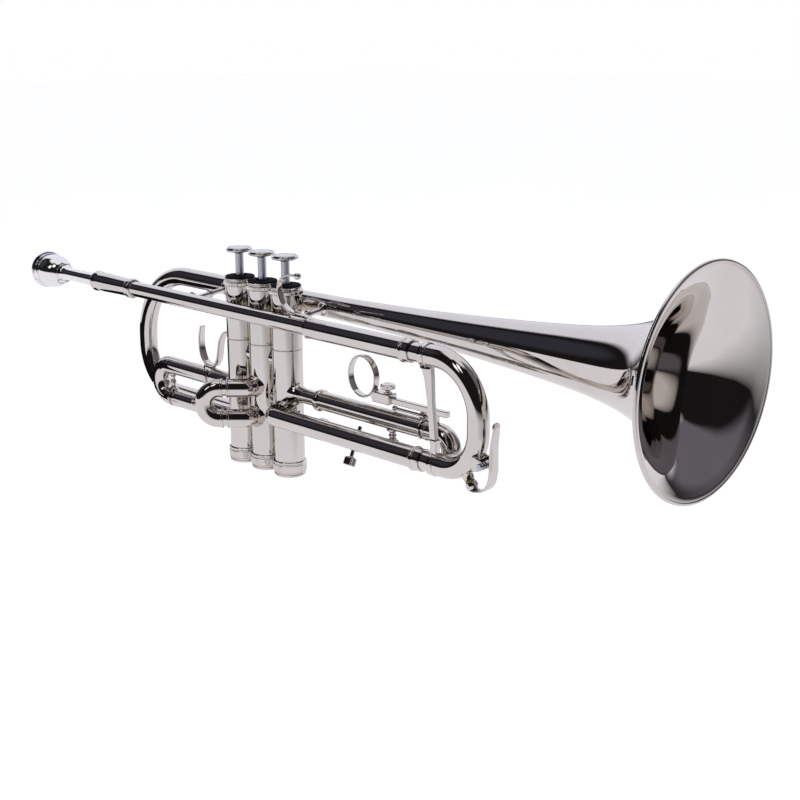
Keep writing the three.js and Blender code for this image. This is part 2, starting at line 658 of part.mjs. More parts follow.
// A short round brace with wide feet between the leadpipe and the bell tube.
function bellBrace(x, bellRadius) {
  const from = vec(x, PIPE_Y, PIPE_Z);
  const to = vec(x, BELL_Y, BELL_Z);
  const length = from.distanceTo(to);
  const profile = [
    [0, 0], [4, 0], [4, LEADPIPE_R + 1.6], [1.9, LEADPIPE_R + 4], [1.9, length - bellRadius - 4],
    [4, length - bellRadius - 1.6], [4, length], [0, length],
  ];
  const tilt = Math.atan2(to.z - from.z, to.y - from.y);
  const rod = turned('y', profile, PIN_SIDES).rotateX(tilt).translate(from.x, from.y, from.z);
  const pipeRoom = bar('x', x - 10, x + 10, LEADPIPE_R + GAP, [0, PIPE_Y, PIPE_Z], VALVE_SIDES);
  const bellRoom = bar('x', x - 10, x + 10, bellRadius + GAP + 0.1, [0, BELL_Y, BELL_Z], VALVE_SIDES);
  return cut(rod, pipeRoom, bellRoom);
}

function buildBellBraces() {
  addPart('bell_brace_front', bellBrace(42, 7.35), 'nickel');
  addPart('bell_brace_rear', bellBrace(-56, BOW_R), 'nickel');
}

// ---------------------------------------------------------------- first valve slide

const FIRST = { crookX: -115.4, outerEnd: [-54, -97], sleeveEnd: [-56.5, -99.5], legEnd: [-37, -72] };

function buildFirstSlide() {
  FIRST_Z.forEach((z, i) => {
    const tube = sleeve('x', FIRST.outerEnd[i], -28, SLIDE_R, SLIDE_BORE_R, [0, 0, z]);
    addPart(`first_slide_${SIDES[i]}_outer_tube`, cut(tube, casingRoom(0)), 'nickel');
  });

  const crook = bentTube([
    [vec(FIRST.sleeveEnd[0], 0, FIRST_Z[0])],
    [vec(FIRST.crookX, 0, FIRST_Z[0]), 11.4],
    [vec(FIRST.crookX, 0, FIRST_Z[1]), 11.4],
    [vec(FIRST.sleeveEnd[1], 0, FIRST_Z[1])],
  ], SLIDE_R, SLIDE_AIR_R, 4);
  const legs = FIRST_Z.map((z, i) =>
    sleeve('x', FIRST.sleeveEnd[i] - 1, FIRST.legEnd[i], SLIDE_LEG_R, SLIDE_AIR_R, [0, 0, z]));
  const post = bar('z', FIRST_Z[1] + 5.2, FIRST_Z[0] - 5.2, 1.8, [-101, 0, 0], PIN_SIDES);
  addPart('first_slide_crook', join(crook, ...legs, post), 'nickel');
}

// A U-shaped saddle for the thumb on the upper sleeve of the first slide.
function buildThumbSaddle() {
  const bottom = FIRST_Z[0] + SLIDE_R + GAP + 1.7;
  const strip = bentStrip([
    [[-66, 21.5]], [[-66, bottom], 9], [[-46, bottom], 9.5], [[-44.5, 14], 8], [[-38.6, 21.8]],
  ], 0, 5.6, 1.6, 4);
  const foot = block([9, 7, 4], [-59, 0, bottom - 1.2]);
  const room = bar('x', -80, -40, SLIDE_R + GAP, [0, 0, FIRST_Z[0]], VALVE_SIDES);
  addPart('thumb_saddle', join(strip, cut(foot, room)), 'nickel');
}

// ---------------------------------------------------------------- second valve slide

// The slide points sideways and back; it is built along +X and then turned.
const SECOND = { cornerY: -16, turn: Math.PI / 4, outerEnd: 12.7, sleeveEnd: 15.2, crookEnd: 27.6 };

function secondDirection() {
  return vec(-Math.sin(SECOND.turn), -Math.cos(SECOND.turn), 0);
}

function secondPoint(distance, z) {
  return vec(0, SECOND.cornerY, z).addScaledVector(secondDirection(), distance);
}

function secondSleeve(from, to, radius, bore, z) {
  const corners = [[secondPoint(from, z)], [secondPoint(to, z)]];
  return bentTube(corners, radius, bore, 1);
}

function buildSecondSlide() {
  SECOND_Z.forEach((z, i) => {
    const tube = bentTube([
      [vec(0, -4, z)], [vec(0, SECOND.cornerY, z), 7], [secondPoint(SECOND.outerEnd, z)],
    ], SLIDE_R, SLIDE_BORE_R, 3);
    addPart(`second_slide_${SIDES[i]}_outer_tube`, cut(tube, casingRoom(1)), 'nickel');
  });

  const [zTop, zLow] = SECOND_Z;
  const radius = (zTop - zLow) / 2 - 0.01;
  const crook = bentTube([
    [secondPoint(SECOND.sleeveEnd, zTop)],
    [secondPoint(SECOND.crookEnd, zTop), radius],
    [secondPoint(SECOND.crookEnd, zLow), radius],
    [secondPoint(SECOND.sleeveEnd, zLow)],
  ], SLIDE_R, SLIDE_AIR_R, 4);
  const legs = SECOND_Z.map((z) =>
    secondSleeve(4.5, SECOND.sleeveEnd + 1, SLIDE_LEG_R, SLIDE_AIR_R, z));
  const knobStart = secondPoint(SECOND.crookEnd + SLIDE_R - 1, (zTop + zLow) / 2);
  const knobEnd = secondPoint(SECOND.crookEnd + SLIDE_R + 1.6, (zTop + zLow) / 2);
  const knob = bentTube([[knobStart], [knobEnd]], 1.9, 0, 1, PIN_SIDES);
  addPart('second_slide_crook', join(crook, ...legs, knob), 'nickel');
}

// ---------------------------------------------------------------- third valve slide

const THIRD = { portR: 4.9, outerStart: 52, outerEnd: 143, sleeveEnd: 145.5, legEnd: 92, crookX: 163.7 };
const CLAMP_SCREW_X = 112.6;
const SCREW_R = 1.3; // shank of the clamp and lyre screws
const RAIL_Z = 4.7;
const RAIL_HALF = 1.8;
const STOP_Z = 0.35;
const STOP_R = 1.0;

function thirdOuterTube(z) {
  const profile = [
    [SLIDE_AIR_R - 0.3, 28], [THIRD.portR, 28], [THIRD.portR, THIRD.outerStart],
    [6.9, THIRD.outerStart + 0.6], [6.9, THIRD.outerStart + 3.6], [SLIDE_R, THIRD.outerStart + 4.4],
    [SLIDE_R, THIRD.outerEnd], [SLIDE_BORE_R, THIRD.outerEnd], [SLIDE_BORE_R, THIRD.outerStart + 4],
    [SLIDE_AIR_R - 0.3, THIRD.outerStart + 3], [SLIDE_AIR_R - 0.3, 28],
  ];
  return turned('x', profile, TUBE_SIDES, [0, 0, z]);
}

function buildThirdSlide() {
  const [zTop, zLow] = THIRD_Z;
  const guideEye = join(
    block([3, 3.4, 2.6], [141.5, 0, zTop + SLIDE_R + 0.4]),
    bar('x', 140, 143, 2.1, [0, 0, STOP_Z], PIN_SIDES),
  );
  const eyeHole = bar('x', 138, 145, STOP_R + GAP, [0, 0, STOP_Z], PIN_SIDES);
  const bore = bar('x', 60, 150, SLIDE_BORE_R, [0, 0, zTop]);
  const upper = cut(join(thirdOuterTube(zTop), cut(guideEye, bore)), casingRoom(2), eyeHole);
  addPart('third_slide_upper_outer_tube', upper, 'nickel');
  const screwHole = lyrePlace(bar('z', -20, 20, SCREW_R + GAP, [0, 0, 0], PIN_SIDES));
  const lower = cut(join(thirdOuterTube(zLow), lyreHolder()), casingRoom(2), screwHole);
  addPart('third_slide_lower_outer_tube', lower, 'nickel');

  const rooms = THIRD_Z.map((z) => bar('x', 100, 130, SLIDE_R + GAP, [0, 0, z], VALVE_SIDES));
  const brace = cut(block([7, 4, 12], [116.5, 0, (zTop + zLow) / 2]), ...rooms);
  addPart('third_slide_brace', brace, 'nickel');

  const radius = (zTop - zLow) / 2 - 0.01;
  const crook = bentTube([
    [vec(THIRD.sleeveEnd, 0, zTop)],
    [vec(THIRD.crookX, 0, zTop), radius],
    [vec(THIRD.crookX, 0, zLow), radius],
    [vec(THIRD.sleeveEnd, 0, zLow)],
  ], SLIDE_R, SLIDE_AIR_R, 4);
  const legs = THIRD_Z.map((z) =>
    sleeve('x', THIRD.legEnd, THIRD.sleeveEnd + 1, SLIDE_LEG_R, SLIDE_AIR_R, [0, 0, z]));
  addPart('third_slide_crook', join(crook, ...legs), 'nickel');
}

// The rail over the upper tube, its foot on the crook's sleeve, and the stop rod with its nut.
function buildThirdSlideRail() {
  const rail = block([61, 2 * RAIL_HALF, 2 * RAIL_HALF], [130.5, 0, RAIL_Z]);
  const footLow = THIRD_Z[0] + SLIDE_R + GAP;
  const foot = block([6, 3.6, RAIL_Z - footLow + 3], [150, 0, (RAIL_Z + footLow - 3) / 2]);
  const rod = bar('x', 117.5, 150, STOP_R, [0, 0, STOP_Z], PIN_SIDES);
  const nut = bar('x', 117.3, 119.5, 1.4, [0, 0, STOP_Z], 6);
  const room = bar('x', 140, 160, SLIDE_R + GAP, [0, 0, THIRD_Z[0]], VALVE_SIDES);
  addPart('third_slide_rail', join(rail, cut(foot, room), rod, nut), 'nickel');
}

// An oval band for the ring finger on a block that slides along the rail.
function buildFingerRing() {
  const centre = [92, 15.2];
  const half = [11.7, 13];
  const band = 1.3;
  const sides = 24;
  const oval = (rx, rz) => Array.from({ length: sides }, (_, i) => {
    const angle = (i / sides) * 2 * Math.PI;
    return new THREE.Vector2(centre[0] + rx * Math.cos(angle), centre[1] + rz * Math.sin(angle));
  });
  const shape = new THREE.Shape(oval(...half));
  shape.holes.push(new THREE.Path(oval(half[0] - band, half[1] - band)));
  const width = 4.6;
  const ring = new THREE.ExtrudeGeometry(shape, { depth: width, bevelEnabled: false })
    .rotateX(Math.PI / 2).translate(0, width / 2, 0);
  const wedge = plate([[98.2, 3.6], [104, 2.4], [104, 8.4], [102.2, 9]], 0, 3.4);
  const body = block([14, 7.6, 6.4], [109.5, 0, RAIL_Z + 0.6]);
  const railRoom = block([40, 2 * (RAIL_HALF + GAP), 2 * (RAIL_HALF + GAP)], [112, 0, RAIL_Z]);
  const screwHole = bar('z', RAIL_Z, 12, SCREW_R + GAP, [CLAMP_SCREW_X, 0, 0], PIN_SIDES);
  addPart('finger_ring', cut(join(ring, wedge, body), railRoom, screwHole), 'nickel');

  const screwTop = 14;
  const screw = turned('z', [
    [0, RAIL_Z + RAIL_HALF + GAP], [SCREW_R, RAIL_Z + RAIL_HALF + GAP], [SCREW_R, screwTop - 3],
    [4.6, screwTop - 2.8], [4.6, screwTop - 0.4], [4, screwTop], [0, screwTop],
  ], TUBE_SIDES, [CLAMP_SCREW_X, 0, 0]);
  addPart('ring_clamp_screw', screw, 'nickel');
}

// The lyre screw leans in the YZ plane, in a small holder beside the lower tube.
const LYRE = { x: 92.7, y: -8.2, tilt: -0.428 };

function lyrePlace(geometry) {
  return geometry.rotateX(LYRE.tilt).translate(LYRE.x, LYRE.y, THIRD_Z[1]);
}

function lyreHolder() {
  const holder = lyrePlace(block([6.5, 5.4, 7], [0, 0, 0]));
  const bore = bar('x', 80, 105, SLIDE_R - 0.2, [0, 0, THIRD_Z[1]]);
  return cut(holder, bore);
}

function buildLyreScrew() {
  const profile = [
    [0, -13.2], [3.8, -13.2], [3.8, -7.8], [SCREW_R, -7.8], [SCREW_R, 11.5], [0, 11.5],
  ];
  addPart('lyre_screw', lyrePlace(turned('z', profile, PIN_SIDES)), 'nickel');
}

// ---------------------------------------------------------------- assembly

buildMouthpiece();
buildReceiver();
buildLeadpipe();
buildPinkyHook();
buildMainOuterTubes();
buildMainCrook();
buildMainBrace();
buildWaterKey();
buildValves();
buildBell();
buildBellBow();
buildBellBraces();
buildFirstSlide();
buildThumbSaddle();
buildSecondSlide();
buildThirdSlide();
buildThirdSlideRail();
buildFingerRing();
buildLyreScrew();

export default trumpet;
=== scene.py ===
"""A trumpet's visual model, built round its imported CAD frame.

The frame is in metres; every shape below is written in millimetres and scaled once.
+X points from the mouthpiece to the bell, +Z up, +Y to the player's left.
"""
import math

import bmesh
import bpy
from mathutils import Matrix, Vector


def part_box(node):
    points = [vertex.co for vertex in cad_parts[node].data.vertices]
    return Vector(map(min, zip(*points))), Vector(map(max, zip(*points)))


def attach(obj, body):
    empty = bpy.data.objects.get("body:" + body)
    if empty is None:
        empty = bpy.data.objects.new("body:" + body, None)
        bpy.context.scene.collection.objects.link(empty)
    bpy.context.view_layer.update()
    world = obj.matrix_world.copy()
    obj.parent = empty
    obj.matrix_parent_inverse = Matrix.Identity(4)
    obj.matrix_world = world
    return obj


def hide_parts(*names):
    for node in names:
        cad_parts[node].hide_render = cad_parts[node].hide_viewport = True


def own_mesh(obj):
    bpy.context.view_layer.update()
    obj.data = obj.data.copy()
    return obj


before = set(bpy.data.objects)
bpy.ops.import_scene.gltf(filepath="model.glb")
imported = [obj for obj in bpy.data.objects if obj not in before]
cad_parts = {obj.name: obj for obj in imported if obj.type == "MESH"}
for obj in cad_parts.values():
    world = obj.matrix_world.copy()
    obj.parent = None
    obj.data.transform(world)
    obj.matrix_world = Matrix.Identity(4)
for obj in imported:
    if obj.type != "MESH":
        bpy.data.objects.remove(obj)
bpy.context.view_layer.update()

MM = 0.001
TURN = 2 * math.pi

# --- places from the frame


def span(node):
    """Lowest and highest corner of a CAD node, in millimetres."""
    low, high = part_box(node)
    return Vector(low) / MM, Vector(high) / MM


def middle(node):
    low, high = span(node)
    return (low + high) / 2


PIPE = middle("leadpipe")
PIPE_Y, PIPE_Z = PIPE.y, PIPE.z
BELL_Y, BELL_Z = middle("bell").y, middle("bell").z
PIPE_AXIS = (0, PIPE_Y, PIPE_Z)
BELL_AXIS = (0, BELL_Y, BELL_Z)
LOWER_Z = -18.7
VALVES = [middle(f"valve_{n}_bottom_cap").x for n in (1, 2, 3)]

# Radii of tubes
PIPE_R = 5.15
OUTER_R = 6.25
LEG_R = 5.5
CROOK_R = 6.2
AIR_R = 4.9
SLIDE_R = 5.9
SLIDE_BORE_R = 5.55
SLIDE_LEG_R = 5.15
SLIDE_AIR_R = 4.6
BOW_R = 6.4
CASING_R = 9.8
PORT_DEPTH = 9.2

FIRST_Z = (-11.8, -34.8)
SECOND_Z = (-6.5, -26.6)
THIRD_Z = (-7.4, -25.9)
SIDES = ("upper", "lower")

# --- curves


def vec(x, y, z):
    return Vector((x, y, z))


def route(corners, degrees=4):
    """Stations (point, heading) through corner points. Each inner corner has a fillet radius."""
    points = [Vector(point) for point, *_ in corners]
    stations = [(points[0], (points[1] - points[0]).normalized())]
    for before, corner, after, (_, radius) in zip(points, points[1:], points[2:], corners[1:]):
        arriving = (corner - before).normalized()
        leaving = (after - corner).normalized()
        turn = arriving.angle(leaving)
        inward = (leaving - arriving * leaving.dot(arriving)).normalized()
        start = corner - arriving * radius * math.tan(turn / 2)
        centre = start + inward * radius
        steps = max(2, round(math.degrees(turn) / degrees))
        for i in range(steps + 1):
            angle = turn * i / steps
            point = centre - inward * radius * math.cos(angle) + arriving * radius * math.sin(angle)
            stations.append((point, arriving * math.cos(angle) + inward * math.sin(angle)))
    stations.append((points[-1], (points[-1] - points[-2]).normalized()))
    return stations


def smooth_curve(points, steps=6):
    """A smooth curve through points of any dimension (Catmull-Rom)."""
    padded = [points[0], *points, points[-1]]
    curve = []
    for a, b, c, d in zip(padded, padded[1:], padded[2:], padded[3:]):
        for i in range(steps):
            t = i / steps
            curve.append(tuple(
                0.5 * (2 * q + (r - p) * t + (2 * p - 5 * q + 4 * r - s) * t * t
                       + (3 * q - p - 3 * r + s) * t ** 3)
                for p, q, r, s in zip(a, b, c, d)
            ))
    curve.append(tuple(points[-1]))
    return curve


def stations_through(points, steps=6):
    """Stations along a smooth curve through points."""
    curve = [Vector(point) for point in smooth_curve(points, steps)]
    ends = [curve[0], *curve, curve[-1]]
    return [(b, (c - a).normalized()) for a, b, c in zip(ends, ends[1:], ends[2:])]


def is_closed(profile):
    """A profile that starts off the axis goes round a bore and closes on itself."""
    return profile[0][0] > 0


def shifted(origin, points):
    """Profile points whose distances are measured from origin."""
    return [(radius, origin + distance, *knurled) for radius, distance, *knurled in points]


def sleeve(bore, radius, start, end):
    """Profile of a plain tube."""
    return [(bore, start), (radius, start), (radius, end), (bore, end)]


def soften(profile, radius=0.3, steps=3):
    """A profile with its corners rounded."""
    closed = is_closed(profile)
    points = [Vector(point) for point in profile]
    count = len(points)
    rounded = []
    for i, corner in enumerate(points):
        if not closed and i in (0, count - 1):
            rounded.append(tuple(corner))
            continue
        back, ahead = points[i - 1] - corner, points[(i + 1) % count] - corner
        if back.angle(ahead) > math.radians(165):
            rounded.append(tuple(corner))
            continue
        reach = min(radius, back.length * 0.45, ahead.length * 0.45)
        start, end = corner + back.normalized() * reach, corner + ahead.normalized() * reach
        for j in range(steps + 1):
            t = j / steps
            rounded.append(tuple(start * (1 - t) ** 2 + corner * 2 * t * (1 - t) + end * t * t))
    return rounded


# --- surfaces
# A shape is a pair of lists: points in millimetres, and faces.


def skin(rings, closed=False):
    """Faces between rings of points. A ring of one point is a pole."""
    points, starts = [], []
    for ring in rings:
        starts.append(len(points))
        points += ring
    faces = []
    pairs = list(zip(range(len(rings)), range(1, len(rings))))
    if closed:
        pairs.append((len(rings) - 1, 0))
    for a, b in pairs:
        count_a, count_b = len(rings[a]), len(rings[b])
        for i in range(max(count_a, count_b)):
            j = i + 1
            face = [
                starts[a] + i % count_a, starts[a] + j % count_a,
                starts[b] + j % count_b, starts[b] + i % count_b,
            ]
            faces.append(list(dict.fromkeys(face)))
    if not closed:
        for start, ring in ((starts[0], rings[0]), (starts[-1], rings[-1])):
            if len(ring) > 2:
                faces.append([start + i for i in range(len(ring))])
    return points, faces


AXES = {
    "x": lambda a, b, h: vec(h, a, b),
    "y": lambda a, b, h: vec(b, h, a),
    "z": lambda a, b, h: vec(a, b, h),
}


def turned(axis, profile, place=(0, 0, 0), sides=64, teeth=0.0):
    """A turned shape. Profile points are (radius, distance). A point with a third value is
    knurled: every second side is sunk there by teeth."""
    rings = []
    for radius, distance, *knurled in profile:
        depth = teeth if knurled else 0
        count = 1 if radius < 1e-6 else sides
        ring = []
        for i in range(count):
            angle = TURN * i / count
            r = radius - depth * (i % 2)
            ring.append(AXES[axis](r * math.cos(angle), r * math.sin(angle), distance) + Vector(place))
        rings.append(ring)
    return skin(rings, is_closed(profile))


def carried(stations, start=None):
    """Frames (point, heading, side, up) carried along stations without twist."""
    side = Vector(start) if start else stations[0][1].orthogonal()
    frames = []
    for point, heading in stations:
        side = (side - heading * side.dot(heading)).normalized()
        frames.append((point, heading, side, heading.cross(side)))
    return frames


def ring_at(place, radius, sides):
    point, _, side, up = place
    return [
        point + side * radius * math.cos(TURN * i / sides) + up * radius * math.sin(TURN * i / sides)
        for i in range(sides)
    ]


def moved(place, distance):
    point, heading, side, up = place
    return point + heading * distance, heading, side, up


def pipe(stations, radius, bore, sides=40, lip=0.15):
    """A hollow bent tube with slightly rounded ends."""
    places = carried(stations)
    outer = [(places[0], radius - lip), (moved(places[0], lip), radius)]
    outer += [(place, radius) for place in places[1:-1]]
    outer += [(moved(places[-1], -lip), radius), (places[-1], radius - lip)]
    inner = [(place, bore) for place in reversed(places)]
    return skin([ring_at(place, r, sides) for place, r in outer + inner], closed=True)


def rod(stations, radius, sides=16, ends=True):
    """A solid round bar along stations. radius is a number or one for each station."""
    places = carried(stations)
    radii = radius if isinstance(radius, list) else [radius] * len(places)
    pairs = list(zip(places, radii))
    if ends:
        first, last = pairs[0], pairs[-1]
        head = [(moved(first[0], -first[1] * 0.35), first[1] * 0.6)]
        tail = [(moved(last[0], last[1] * 0.35), last[1] * 0.6)]
        pairs = head + pairs + tail
    return skin([ring_at(place, r, sides) for place, r in pairs])


def strip(stations, width, thickness, across=(0, 1, 0)):
    """A flat bar with crowned faces. width is a number or one for each station."""
    places = carried(stations, across)
    widths = width if isinstance(width, list) else [width] * len(places)
    rings = []
    for (point, _, side, up), wide in zip(places, widths):
        outline = crowned(wide / 2, thickness / 2)
        rings.append([point + side * a + up * b for a, b in outline])
    return skin(rings)


def crowned(half_a, half_b, fullness=3.4, count=36):
    """Outline between an ellipse and a rectangle: flat faces that curve away to round edges."""
    outline = []
    for i in range(count):
        angle = TURN * i / count
        a, b = math.cos(angle), math.sin(angle)
        outline.append((half_a * math.copysign(abs(a) ** (2 / fullness), a),
                        half_b * math.copysign(abs(b) ** (2 / fullness), b)))
    return outline


def rounded_box(half_a, half_b, corner, steps=3):
    """Outline of a rectangle with round corners."""
    outline = []
    for quarter, (sign_a, sign_b) in enumerate(((1, 1), (-1, 1), (-1, -1), (1, -1))):
        centre_a, centre_b = sign_a * (half_a - corner), sign_b * (half_b - corner)
        for i in range(steps + 1):
            angle = (quarter + i / steps) * math.pi / 2
            outline.append((centre_a + corner * math.cos(angle), centre_b + corner * math.sin(angle)))
    return outline


def plate(outline, y, thickness, edge=0.3):
    """A plate with its outline in the XZ plane, centred on y, with its edges rounded."""
    middle_point = Vector((sum(p[0] for p in outline), sum(p[1] for p in outline))) / len(outline)
    rings = []
    rim = 0.5 - edge / thickness
    for depth, inset in ((-0.5, edge), (-rim, 0), (rim, 0), (0.5, edge)):
        ring = []
        for point in outline:
            toward = middle_point - Vector(point)
            at = Vector(point) + toward.normalized() * inset
            ring.append(vec(at.x, y + depth * thickness, at.y))
        rings.append(ring)
    return skin(rings)


def block(sizes, centre, corner=0.4, axis="x"):
    """A block with rounded edges along one axis and softened ends."""
    along = "xyz".index(axis)
    length = sizes[along]
    half_a, half_b = (sizes[(along + 1) % 3] / 2, sizes[(along + 2) % 3] / 2)
    rings = []
    for distance, inset in ((-length / 2, corner * 0.6), (-length / 2 + corner * 0.6, 0),
                            (length / 2 - corner * 0.6, 0), (length / 2, corner * 0.6)):
        ring = []
        for a, b in rounded_box(half_a - inset, half_b - inset, corner):
            point = [0, 0, 0]
            point[along], point[(along + 1) % 3], point[(along + 2) % 3] = distance, a, b
            ring.append(Vector(point) + Vector(centre))
        rings.append(ring)
    return skin(rings)


def oval_foot(centre, half_x, half_y, levels, count):
    """A low oval foot, as (height, size) levels above its centre."""
    angles = [TURN * i / count for i in range(count)]
    return skin([
        [centre + vec(half_x * size * math.cos(a), half_y * size * math.sin(a), height) for a in angles]
        for height, size in levels
    ])


def add_object(name, data):
    obj = bpy.data.objects.new(name, data)
    bpy.context.scene.collection.objects.link(obj)
    return obj


def placed(shape, matrix):
    points, faces = shape
    return [matrix @ Vector(point) for point in points], faces


# --- pieces


def piece(name, shapes, node=None, body="horn", finish="nickel", sharp=38):
    """One object made of shapes. It rides on a body and stands for a CAD node."""
    points, faces = [], []
    for shape_points, shape_faces in shapes:
        start = len(points)
        points += [tuple(Vector(point) * MM) for point in shape_points]
        faces += [[start + i for i in face] for face in shape_faces]
    mesh = bpy.data.meshes.new(name)
    mesh.from_pydata(points, [], faces)
    face_outwards(mesh)
    mesh.shade_smooth()
    mesh.set_sharp_from_angle(angle=math.radians(sharp))
    material, slot = FINISHES[finish]
    mesh.materials.append(material)
    obj = add_object(name, mesh)
    shading = obj.modifiers.new("flat_faces_shade_flat", "WEIGHTED_NORMAL")
    shading.keep_sharp = True
    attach(obj, body)
    if node:
        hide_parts(node)
    return obj


def face_outwards(mesh):
    sheet = bmesh.new()
    sheet.from_mesh(mesh)
    bmesh.ops.recalc_face_normals(sheet, faces=sheet.faces)
    sheet.to_mesh(mesh)
    sheet.free()


# --- materials


def connect(tree, socket, value):
    """Links a socket to another node's output, or sets it to a value."""
    if isinstance(value, bpy.types.NodeSocket):
        tree.links.new(value, socket)
    else:
        socket.default_value = value


def feed(tree, node, **inputs):
    """A node with its inputs set by name, with _ for each space."""
    for name, value in inputs.items():
        connect(tree, node.inputs[name.replace("_", " ")], value)
    return node


def add_node(tree, kind, **inputs):
    return feed(tree, tree.nodes.new(kind), **inputs)


def new_material(name):
    material = bpy.data.materials.new(name)
    material.use_nodes = True
    tree = material.node_tree
    return material, tree, tree.nodes["Principled BSDF"]


def noise(tree, scale, detail=3.0, stretch=(1, 1, 1)):
    """Noise over the object's own space; scale is per metre."""
    place = add_node(tree, "ShaderNodeTexCoord").outputs["Object"]
    mapping = add_node(tree, "ShaderNodeMapping", Vector=place, Scale=stretch)
    texture = add_node(tree, "ShaderNodeTexNoise", Vector=mapping.outputs[0], Scale=scale, Detail=detail)
    return texture.outputs["Fac"]


def spread(tree, factor, low, high):
    """A factor mapped to a range of values or colours."""
    node = add_node(tree, "ShaderNodeValToRGB", Fac=factor)
    for element, position, value in zip(node.color_ramp.elements, (0.3, 0.7), (low, high)):
        element.position = position
        element.color = (*value, 1) if isinstance(value, tuple) else (value, value, value, 1)
    return node.outputs["Color"]


def bump(tree, height, strength, distance=0.0001):
    relief = add_node(tree, "ShaderNodeBump", Height=height, Strength=strength, Distance=distance)
    return relief.outputs["Normal"]


def polished(name, bright, tarnished, smooth, hazed):
    """Plated, polished metal: faint tarnish in patches, haze from wiping, and a slow ripple."""
    material, tree, shader = new_material(name)
    patches = noise(tree, 38, 4)
    haze = noise(tree, 260, 5, (0.25, 1, 1))
    feed(tree, shader, Metallic=1.0,
         Base_Color=spread(tree, patches, tarnished, bright),
         Roughness=spread(tree, haze, smooth, hazed),
         Normal=bump(tree, noise(tree, 70, 2), 0.04))
    return material


def satin(name, light, dark, roughness, stretch):
    """Drawn or ground metal with fine lines."""
    material, tree, shader = new_material(name)
    lines = noise(tree, 2400, 3, stretch)
    feed(tree, shader, Metallic=1.0,
         Base_Color=spread(tree, lines, dark, light),
         Roughness=spread(tree, lines, roughness - 0.05, roughness + 0.08),
         Normal=bump(tree, lines, 0.15, 0.00005))
    return material


def make_pearl():
    """Mother-of-pearl: soft cloudy bands under a clear, glossy face."""
    material, tree, shader = new_material("pearl")
    clouds = noise(tree, 220, 4, (1, 0.5, 1))
    feed(tree, shader, Coat_Weight=0.6, Coat_Roughness=0.05,
         Base_Color=spread(tree, clouds, (0.80, 0.79, 0.80), (0.95, 0.93, 0.90)),
         Roughness=spread(tree, clouds, 0.16, 0.28))
    return material


def make_felt():
    """Pressed black felt."""
    material, tree, shader = new_material("felt")
    fibres = noise(tree, 3800, 6)
    feed(tree, shader, Roughness=0.95, Specular_IOR_Level=0.15,
         Base_Color=spread(tree, fibres, (0.004, 0.004, 0.005), (0.02, 0.02, 0.023)),
         Normal=bump(tree, fibres, 0.6, 0.0002))
    return material


def make_cork():
    """Cork with darker grains."""
    material, tree, shader = new_material("cork")
    grains = noise(tree, 1500, 6)
    feed(tree, shader, Roughness=0.85,
         Base_Color=spread(tree, grains, (0.17, 0.09, 0.04), (0.52, 0.34, 0.19)),
         Normal=bump(tree, grains, 0.5, 0.0002))
    return material


NICKEL = polished("nickel", (0.67, 0.63, 0.59), (0.62, 0.575, 0.53), 0.02, 0.05)
SILVER = polished("silver", (0.86, 0.84, 0.81), (0.80, 0.78, 0.75), 0.07, 0.12)
STEM = satin("stem_metal", (0.55, 0.56, 0.61), (0.42, 0.43, 0.48), 0.3, (1, 1, 0.02))
PISTON = satin("piston_metal", (0.72, 0.71, 0.68), (0.6, 0.59, 0.56), 0.25, (1, 1, 0.05))

# Each finish is a material and the slot that it fills in the part.
FINISHES = {
    "nickel": (NICKEL, "nickel_plate"),
    "silver": (SILVER, "silver_plate"),
    "stem": (STEM, "stem_steel"),
    "pearl": (make_pearl(), "pearl"),
    "felt": (make_felt(), "cork"),
    "cork": (make_cork(), "cork"),
}

# --- mouthpiece and leadpipe


def build_mouthpiece():
    rim = span("mouthpiece")[0].x
    tip = span("mouthpiece")[1].x
    outside = smooth_curve(shifted(rim, [
        (10.2, 0), (11.4, 0.25), (12.7, 1.1), (13.3, 2.4), (13.25, 3.8),
    ]), 4)
    steps = smooth_curve(shifted(rim, [
        (12.2, 4.3), (11.9, 4.8), (12.3, 5.4), (12.5, 6.1), (12.3, 6.8), (11.5, 7.3), (11.2, 7.9),
    ]), 4)
    cup_back = smooth_curve(shifted(rim, [
        (11.6, 8.7), (12.0, 10.2), (12.0, 12.5), (11.4, 16.2), (9.9, 20.2), (7.9, 23.6),
        (6.4, 25.2),
    ]), 5)
    shank = [
        (6.9, rim + 25.8), (6.9, rim + 26.9), (5.7, rim + 27.6), (5.0, rim + 29.5),
        (4.55, rim + 33), (4.5, rim + 50), (4.75, rim + 66), (4.3, tip - 0.2), (4.1, tip),
    ]
    inside = [
        (3.95, tip), (1.85, rim + 26), (1.85, rim + 14.5), (2.6, rim + 13.4), (5.2, rim + 10),
        (7.4, rim + 5.5), (8.3, rim + 2.2), (8.7, rim + 1.0), (9.3, rim + 0.25),
    ]
    profile = outside + steps + cup_back + shank + inside
    shape = turned("x", profile, PIPE_AXIS, 96)
    piece("mouthpiece_body", [shape], "mouthpiece", "mouthpiece", finish="silver", sharp=50)


def build_receiver():
    start, end = span("mouthpiece_receiver")[0].x, span("mouthpiece_receiver")[1].x
    body = smooth_curve([
        (5.15, start), (6.1, start + 0.5), (6.9, start + 1.6), (7.2, start + 3.2), (7.0, start + 4.9),
        (6.65, start + 6.6), (6.6, start + 9), (6.6, start + 14), (6.3, start + 26), (6.02, end - 6.4),
    ], 5)
    bead = shifted(end, [
        (6.05, -5.4), (6.6, -5.0), (6.78, -4.2), (6.78, -1.8), (6.55, -0.9), (5.9, -0.3), (5.3, 0),
    ])
    bore = [(PIPE_R - 0.1, end), (PIPE_R - 0.1, start + 20), (4.7, start + 19), (5.0, start)]
    profile = body + bead + bore
    shape = turned("x", profile, PIPE_AXIS, 72)
    piece("receiver", [shape], "mouthpiece_receiver", sharp=50)


